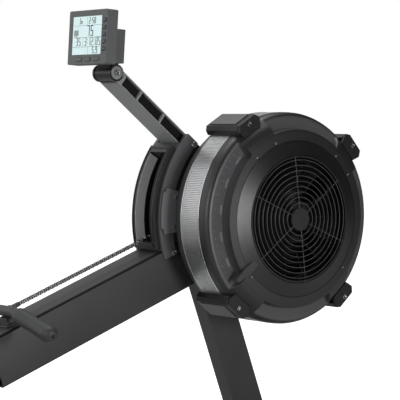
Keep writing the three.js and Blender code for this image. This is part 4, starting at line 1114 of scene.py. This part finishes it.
def makeSlot():
    wall = sectorPlate(-slot["half"] - 0.0002, -slot["half"] + 0.0012, 0.2835, 0.3112, slot["top"] + 0.6,
                       slot["bottom"] - 0.6, 40)
    place(linkMesh("slotLiner", meshOf(*wall), linerAbs), "frame", "dark_plastic")
    face, high = slot["face"] - 0.0004, slot["face"] + slot["lipHeight"]
    lips = []
    for x0, x1 in ((-0.0425, -0.0402), (0.0402, 0.0425), (0.0328, 0.0346)):
        lips.append(sectorPlate(x0, x1, face, high, slot["top"] - 2.6, slot["bottom"] + 2.2, 48))
    for start in (slot["top"] - 2.7, slot["bottom"] + 1.9):
        lips.append(sectorPlate(-0.0425, 0.0425, face, high, start, start + 0.45, 3))
    mesh = meshOf(*joined(lips))
    place(bevelled(mesh, "slotLips", darkAbs, 0.0005, 1), "frame", "dark_plastic")
    sizes = {"Ribs": slot["ribs"], "From": math.radians(slot["top"] - 1), "Length": 0.0054,
             "Step": math.radians((slot["bottom"] - slot["top"] + 2) / slot["ribs"])}
    tree, given = startTree("slotRibs", sizes)
    line = addNode(tree, "GeometryNodeMeshLine", {"Offset": (0, 0, 0)}, {"Count": given["Ribs"]})
    bar = addNode(tree, "GeometryNodeMeshCube",
                  links={"Size": toVector(tree, given["Length"], 0.0011, 0.0009)})
    slant = addNode(tree, "GeometryNodeTransform", {"Rotation": (0, 0, 0.7)}, {"Geometry": bar.outputs[0]})
    index = addNode(tree, "GeometryNodeInputIndex").outputs[0]
    angle = maths(tree, "ADD", maths(tree, "MULTIPLY", index, given["Step"]), given["From"])
    lift = maths(tree, "SUBTRACT", angle, math.pi / 2)
    radius = slot["face"] + 0.0002
    y = maths(tree, "ADD", maths(tree, "MULTIPLY", maths(tree, "COSINE", angle, 0), radius), axisY)
    z = maths(tree, "ADD", maths(tree, "MULTIPLY", maths(tree, "SINE", angle, 0), radius), axisZ)
    spots = addNode(tree, "GeometryNodeSetPosition",
                    links={"Geometry": line.outputs[0], "Position": toVector(tree, 0.0374, y, z)})
    ribs = addNode(tree, "GeometryNodeInstanceOnPoints", links={
        "Points": spots.outputs[0], "Instance": slant.outputs[0], "Rotation": toVector(tree, lift, 0, 0)})
    place(grow(tree, ribs.outputs[0], "slotRibs", mouldedAbs, sizes), "frame", "dark_plastic")


makeSlot()

# two slotted pins on the drum's lug, and the plate's raised outline
def makeLugPins():
    places = [(drumPoint(0.0627, 0.2575, degrees), (1, 0, 0), 0.0062) for degrees in (167.5, 184)]
    makeBolts("lugPins", "frame", "steel", greyAbs, places)
    skin = joined([sectorPlate(0.0621, 0.0628, 0.247, 0.2915, 163.8, 187.4, 30),
                   sectorPlate(0.0621, 0.0628, 0.2915, 0.2986, 166.2, 184.4, 24)])
    place(linkMesh("lugPlate", meshOf(*skin), lugAbs), "frame", "grey_plastic")


makeLugPins()
print("slot and scale made")

# arm: near-black pocket floors between its ribs, which are painted shade, and black caps round its knuckle
arm = {"boltRadius": 0.2708, "boltAngle": 135.75, "pivot": (-0.418, 0.369)}


def makeArmDetails():
    lowPoint = drumPoint(0, arm["boltRadius"], arm["boltAngle"])
    pivot = Vector((0, axisY + arm["pivot"][0], axisZ + arm["pivot"][1]))
    along = pivot - lowPoint
    turn = Matrix.Translation(lowPoint) @ Matrix.Rotation(math.atan2(along.z, along.y), 4, "X")
    # the pocket floors are painted shade: thin near-black plates where the pockets lie in shade
    shadePads = []
    for start, end in ((0.0205, 0.1035), (0.1105, 0.1935), (0.2005, along.length - 0.0285)):
        for side in (-1, 1):
            inner, outer = sorted((side * 0.0283, side * 0.0292))
            shadePads.append(boxShape((inner, start, -0.0131), (outer, end, 0.0131), turn))
    place(linkMesh("armPocketFloors", meshOf(*joined(shadePads)), shadeBlackAbs), "arm", "dark_plastic")
    for side, name in ((-1, "knuckleCapLeft"), (1, "knuckleCapRight")):
        outline = [(0.0313, 0.0176), (0.0313, 0.0213), (0.0376, 0.0213), (0.0386, 0.0204), (0.0386, 0.0176),
                   (0.0378, 0.0166)]
        points, faces = turned([(side * x, r) for x, r in outline], 64)
        shift = Vector((0, pivot.y - axisY, pivot.z - axisZ))
        mesh = meshOf([p + shift for p in points], faces, 40)
        place(linkMesh(name, mesh, darkAbs), "arm", "dark_plastic")
    bolts = [(drumPoint(side * 0.0619, arm["boltRadius"], arm["boltAngle"]), (side, 0, 0), 0.0078)
             for side in (-1, 1)]
    makeBolts("armBolts", "arm", "steel", blackSteel, bolts)


makeArmDetails()
print("arm details made")

# display: seven-segment figures, rules between the fields, and the marks on its buttons
display = {"left": -0.065, "right": 0.059, "bottom": -0.043, "top": 0.052, "front": 0.0004,
           "tilt": math.radians(-3.8)}
segmentsOf = {"0": "abcdef", "1": "bc", "2": "abged", "3": "abgcd", "4": "fgbc", "5": "afgcd", "6": "afgedc",
              "7": "abc", "8": "abcdefg", "9": "abcdfg", "n": "ceg", "-": "g"}


def displayMatrix():
    return Matrix.Translation((0, axisY - 0.480, axisZ + 0.457)) @ Matrix.Rotation(display["tilt"], 4, "X")


def figure(text, left, bottom, height, thick):
    parts = []
    width = height * 0.44
    across = thick * 1.5  # the upright strokes are the broader ones
    turn = displayMatrix()
    front = display["front"]
    x = left
    for letter in text:
        if letter in ":.":
            for level in ((0.3, 0.66) if letter == ":" else (0.04,)):
                z = bottom + height * level
                parts.append(boxShape((x, front - 0.00012, z), (x + across, front, z + thick), turn))
            x += 2 * across
            continue
        bars = {
            "a": (0, height - thick, width, height),
            "g": (0, (height - thick) / 2, width, (height + thick) / 2),
            "d": (0, 0, width, thick), "f": (0, height / 2, across, height), "e": (0, 0, across, height / 2),
            "b": (width - across, height / 2, width, height), "c": (width - across, 0, width, height / 2),
        }
        for bar in segmentsOf[letter]:
            x0, z0, x1, z1 = bars[bar]
            trim = 0.00025
            parts.append(boxShape((x + x0 + trim, front - 0.00012, bottom + z0 + trim),
                                  (x + x1 - trim, front, bottom + z1 - trim), turn))
        x += width * 1.3
    return parts


def makeDisplay():
    left, right, bottom, top = (display[k] for k in ("left", "right", "bottom", "top"))
    width, height, front = right - left, top - bottom, display["front"]
    turn = displayMatrix()

    def at(share):
        return top - height * share

    parts = []
    parts += figure("1n", left + 0.2 * width, at(0.2), 0.0155, 0.0017)
    parts += figure("2:58", left + 0.55 * width, at(0.2), 0.0155, 0.0017)
    parts += figure("75", left + 0.5 * width, at(0.52), 0.0265, 0.0026)
    parts += figure("35", left + 0.12 * width, at(0.77), 0.0205, 0.0018)
    parts += figure("3:12", left + 0.42 * width, at(0.77), 0.0205, 0.0018)
    parts += figure("85", left + 0.81 * width, at(0.77), 0.0205, 0.0018)
    parts += figure("5.9", left + 0.7 * width, at(0.975), 0.0165, 0.0018)
    for i in range(5):
        x = left + (0.05 + 0.033 * i) * width
        tip = at(0.5) + 0.013 + 0.0015 * (i % 2)
        parts.append(boxShape((x, front - 0.00012, at(0.5)), (x + 0.0024, front, tip), turn))
    parts.append(boxShape((left + 0.07 * width, front - 0.00012, at(0.53)),
                          (left + 0.17 * width, front, at(0.515)), turn))
    for share in (0.24, 0.55, 0.8):
        parts.append(boxShape((left + 0.002, front - 0.0001, at(share) - 0.0003),
                              (right - 0.002, front, at(share) + 0.0003), turn))
    for x, low, high in ((0.5, 0.24, 0.03), (0.36, 0.8, 0.55), (0.76, 0.8, 0.55), (0.55, 0.99, 0.8)):
        parts.append(boxShape((left + x * width - 0.0003, front - 0.0001, at(low)),
                              (left + x * width + 0.0003, front, at(high)), turn))
    place(linkMesh("displayFigures", meshOf(*joined(parts)), segmentInk), "monitor", "display")
    for i in range(5):
        z = 0.040 - 0.0176 * i
        marks = [boxShape((0.0675, -0.00215, z - 0.0012), (0.0755, -0.0019, z + 0.0012), turn),
                 boxShape((0.0695, -0.00215, z + 0.0018), (0.0735, -0.0019, z + 0.0025), turn)]
        mark = linkMesh(f"sideMark{i + 1}", meshOf(*joined(marks)), printInk)
        place(mark, f"side_button_{i + 1}", "grey_plastic")
    for i in range(3):
        x = -0.032 + 0.0375 * i
        marks = [boxShape((x + dx, -0.00215, -0.0568), (x + dx + 0.0026, -0.0019, -0.0532), turn)
                 for dx in (-0.0078, -0.0042, -0.0006, 0.003)]
        mark = linkMesh(f"lowerMark{i + 1}", meshOf(*joined(marks)), printInk)
        place(mark, f"lower_button_{i + 1}", "grey_plastic")
    screen = refined("lcd_screen", "displayScreen", displayGlass, 0.0003, 1)
    place(screen, "monitor", "display", "lcd_screen")


makeDisplay()
print("display made")

# seat pad: a moulded foam shell with two shallow dishes and a notch for the tail bone
seat = {"centreY": -0.6137, "halfWidth": 0.165, "halfLength": 0.12, "corner": 0.07, "bottom": 0.3389,
        "top": 0.3746, "notchRadius": 0.038, "notchY": -0.132, "dish": 0.0105, "tuck": 0.009, "rays": 160}


def seatDistance(x, y):
    qx = abs(x) - seat["halfWidth"] + seat["corner"]
    qy = abs(y) - seat["halfLength"] + seat["corner"]
    slab = math.hypot(max(qx, 0), max(qy, 0)) + min(max(qx, qy), 0) - seat["corner"]
    notch = seat["notchRadius"] - math.hypot(x, y - seat["notchY"])
    soft = 0.012
    blend = max(soft - abs(slab - notch), 0) / soft
    return max(slab, notch) + blend * blend * soft / 4


def seatEdge(angle):
    low, high = 0, 0.25
    for _ in range(30):
        middle = (low + high) / 2
        if seatDistance(middle * math.cos(angle), middle * math.sin(angle)) < 0:
            low = middle
        else:
            high = middle
    return low


def seatHeight(x, y):
    dish = 0
    for side in (-1, 1):
        away = math.hypot((x - side * 0.064) / 0.062, (y + 0.022) / 0.07)
        dish += seat["dish"] * math.exp(-away * away)
    ridge = 0.0022 * math.exp(-(x / 0.018) ** 2)
    fall = 0.006 * smoothStep((y - 0.02) / 0.1)
    return -dish + ridge - 0.002 - fall


def makeSeat():
    shares = [0, 0.12, 0.24, 0.36, 0.48, 0.6, 0.7, 0.79, 0.86, 0.915, 0.95]
    points, faces = [], []
    rings = len(shares) + 10
    for i in range(seat["rays"]):
        angle = 2 * math.pi * i / seat["rays"]
        reach = seatEdge(angle)
        cos, sin = math.cos(angle), math.sin(angle)
        column = []
        for share in shares:
            x, y = share * reach * cos, share * reach * sin
            column.append((x, y, seat["top"] + seatHeight(x, y) - 0.0022 * max(0, share - 0.7)))
        last = column[-1][2]
        for step in range(1, 7):
            turn = math.radians(90 * step / 6)
            share = 0.95 + 0.05 * math.sin(turn)
            column.append((share * reach * cos, share * reach * sin, last - 0.0105 * (1 - math.cos(turn))))
        low = column[-1][2]
        for step in (0.35, 0.7, 1):
            inwards = 1 - seat["tuck"] * step * step / reach
            z = low + (seat["bottom"] + 0.0012 - low) * step
            column.append((reach * cos * inwards, reach * sin * inwards, z))
        column.append((reach * cos * (1 - (seat["tuck"] + 0.003) / reach), reach * sin *
                       (1 - (seat["tuck"] + 0.003) / reach), seat["bottom"]))
        points += [Vector((x, seat["centreY"] + y, z)) for x, y, z in column]
    for i in range(seat["rays"]):
        j = (i + 1) % seat["rays"]
        for k in range(rings - 1):
            faces.append((i * rings + k, j * rings + k, j * rings + k + 1, i * rings + k + 1))
    faces.append(tuple(i * rings + rings - 1 for i in range(seat["rays"])))
    mesh = meshOf(points, faces, 60)
    piece = linkMesh("seatPad", mesh, seatSkin)
    place(piece, "seat", "seat_foam", "seat_pad")


makeSeat()
print("seat made")

# foot plates, their treads and straps, in the plate's own frame: y' up the plate, z' out of it
foot = {"toeY": 0.1433 - 0.180, "toeZ": 0.330, "angle": math.radians(45), "x": 0.1135, "half": 0.0532,
        "strapMiddle": -0.095, "strapWidth": 0.038, "strapWall": 0.0022, "archHeight": 0.060}


def footMatrix(side):
    return (Matrix.Translation((side * foot["x"], foot["toeY"], foot["toeZ"]))
            @ Matrix.Rotation(foot["angle"], 4, "X"))


def makeTread(side, name):
    sizes = {"Ribs": 12, "Spacing": 0.0088, "Length": 0.078}
    tree, given = startTree(name, sizes)
    line = addNode(tree, "GeometryNodeMeshLine", links={
        "Count": given["Ribs"], "Offset": toVector(tree, 0, given["Spacing"], 0)})
    bar = addNode(tree, "GeometryNodeMeshCube",
                  links={"Size": toVector(tree, given["Length"], 0.003, 0.0018)})
    ribs = addNode(tree, "GeometryNodeInstanceOnPoints",
                   links={"Points": line.outputs[0], "Instance": bar.outputs[0]})
    matrix = footMatrix(side) @ Matrix.Translation((0, -0.114, 0.0056))
    placed = addNode(tree, "GeometryNodeTransform",
                     {"Translation": matrix.translation, "Rotation": matrix.to_euler()},
                     {"Geometry": ribs.outputs[0]})
    place(grow(tree, placed.outputs[0], name, rubber, sizes), "frame", "rubber")


def strapPath():
    half = foot["half"] + 0.0006
    path = [(half, -0.004), (half, 0.002)]
    for i in range(33):
        angle = math.pi * i / 32
        path.append((half * math.cos(angle), 0.008 + foot["archHeight"] * math.sin(angle)))
    return path + [(-half, 0.002), (-half, -0.004)]


def makeStrap(side, name, node):
    path = strapPath()
    matrix = footMatrix(side)
    section = []
    half, wall = foot["strapWidth"] / 2, foot["strapWall"] / 2
    for i in range(9):
        section.append((-half + 2 * half * i / 8, wall * (0.75 if i in (0, 8) else 1)))
    section += [(w, -t) for w, t in reversed(section)]
    points, faces = [], []
    for i, (x, z) in enumerate(path):
        before, after = path[max(i - 1, 0)], path[min(i + 1, len(path) - 1)]
        along = Vector((after[0] - before[0], 0, after[1] - before[1])).normalized()
        outwards = Vector((along.z, 0, -along.x))
        for across, thick in section:
            crown = 0.0008 * (1 - (across / half) ** 2)
            local = Vector((x, foot["strapMiddle"] + across, z)) + outwards * (thick + crown)
            points.append(matrix @ local)
    count = len(section)
    for i in range(len(path) - 1):
        for k in range(count):
            j = (k + 1) % count
            faces.append((i * count + k, i * count + j, (i + 1) * count + j, (i + 1) * count + k))
    faces += [tuple(range(count)), tuple((len(path) - 1) * count + k for k in range(count))]
    piece = linkMesh(name, meshOf(points, faces, 50), webbing)
    place(piece, "frame", "webbing", node)
    angle = math.radians(58)
    centre = Vector((side * foot["half"] * math.cos(angle), foot["strapMiddle"],
                     0.008 + foot["archHeight"] * math.sin(angle)))
    lean = Matrix.Rotation(side * (math.pi / 2 - angle), 4, "Y")
    buckle = []
    for low, high in (((-0.013, -0.0225, 0.0014), (-0.0105, 0.0225, 0.0044)),
                      ((0.0105, -0.0225, 0.0014), (0.013, 0.0225, 0.0044)),
                      ((-0.013, -0.0225, 0.0014), (0.013, -0.0195, 0.0044)),
                      ((-0.013, 0.0195, 0.0014), (0.013, 0.0225, 0.0044)),
                      ((-0.0018, -0.0215, 0.0016), (0.0018, 0.0215, 0.0052))):
        buckle.append(boxShape(low, high, matrix @ Matrix.Translation(centre) @ lean))
    place(bevelled(meshOf(*joined(buckle)), name + "Buckle", zincSteel, 0.0006), "frame", "steel")


for side, name in ((-1, "Left"), (1, "Right")):
    low = name.lower()
    place(refined(f"foot_plate_{low}", "footPlate" + name, mouldedAbs, 0.0015), "frame", "black_plastic",
          f"foot_plate_{low}")
    makeTread(side, "footTread" + name)
    makeStrap(side, "footStrap" + name, f"foot_strap_{low}")
print("foot plates made")

# floor and lights
studio = {"floor": "bcbcbc", "dark": 0.02, "bright": 1.2}


def makeStudio():
    shape = bmesh.new()
    bmesh.ops.create_circle(shape, cap_ends=True, segments=64, radius=14)
    mesh = bpy.data.meshes.new("floor")
    shape.to_mesh(mesh)
    shape.free()
    material, tree, spot = startMaterial("paperFloor")
    noise = addNode(tree, "ShaderNodeTexNoise", {"Scale": 3.0}, {"Vector": spot})
    color = mixColors(tree, noise.outputs[0], studio["floor"], "cacaca")
    bump = addNode(tree, "ShaderNodeBump", {"Strength": 0.05}, {"Height": noise.outputs[0]})
    endMaterial(tree, color, ranged(tree, noise.outputs[0], 0.85, 0.95), bump.outputs[0],
                {"IOR": 1.4, "Emission Color": (1, 1, 1, 1)})
    seen = addNode(tree, "ShaderNodeLightPath").outputs["Is Camera Ray"]
    shader = next(n for n in tree.nodes if n.type == "BSDF_PRINCIPLED")
    tree.links.new(seen, shader.inputs["Emission Strength"])
    linkMesh("floor", mesh, material)
    # the sky is white to the eye; as a light it is dim, and brightest on the rower's left and behind
    world = bpy.data.worlds.new("studio")
    world.use_nodes = True
    sky = world.node_tree
    seen = addNode(sky, "ShaderNodeLightPath").outputs["Is Camera Ray"]
    away = addNode(sky, "ShaderNodeTexCoord").outputs["Generated"]
    side = addNode(sky, "ShaderNodeVectorMath", {1: (-0.8, -0.6, -0.3)}, {0: away}, operation="DOT_PRODUCT")
    light = addNode(sky, "ShaderNodeMapRange",
                    {"From Min": -0.2, "To Min": studio["dark"], "To Max": studio["bright"]},
                    {"Value": side.outputs["Value"]}, interpolation_type="SMOOTHSTEP")
    strength = maths(sky, "MAXIMUM", seen, light.outputs[0])
    sky.links.new(strength, sky.nodes["Background"].inputs["Strength"])
    sky.nodes["Background"].inputs["Color"].default_value = (1, 1, 1, 1)
    scene.world = world
    scene.view_settings.view_transform = "Standard"
    for name, spot, aim, size, power in (
        ("keyLight", (1.6, -3.2, 1.6), (0, 0.6, 0.7), (1.4, 1.6), 55),
        ("topLight", (-0.4, 0.9, 3.8), (0, 0.8, 0.6), (2.6, 2.6), 85),
        ("frontLight", (4.6, 1.15, 0.65), (0, 0.95, 0.6), (0.7, 1.6), 95),
    ):
        data = bpy.data.lights.new(name, "AREA")
        data.energy = power
        data.shape = "RECTANGLE"
        data.size, data.size_y = size
        light = bpy.data.objects.new(name, data)
        aimed = (Vector(aim) - Vector(spot)).to_track_quat("-Z", "Y").to_matrix().to_4x4()
        light.matrix_world = Matrix.Translation(spot) @ aimed
        scene.collection.objects.link(light)


makeStudio()
print("studio made")
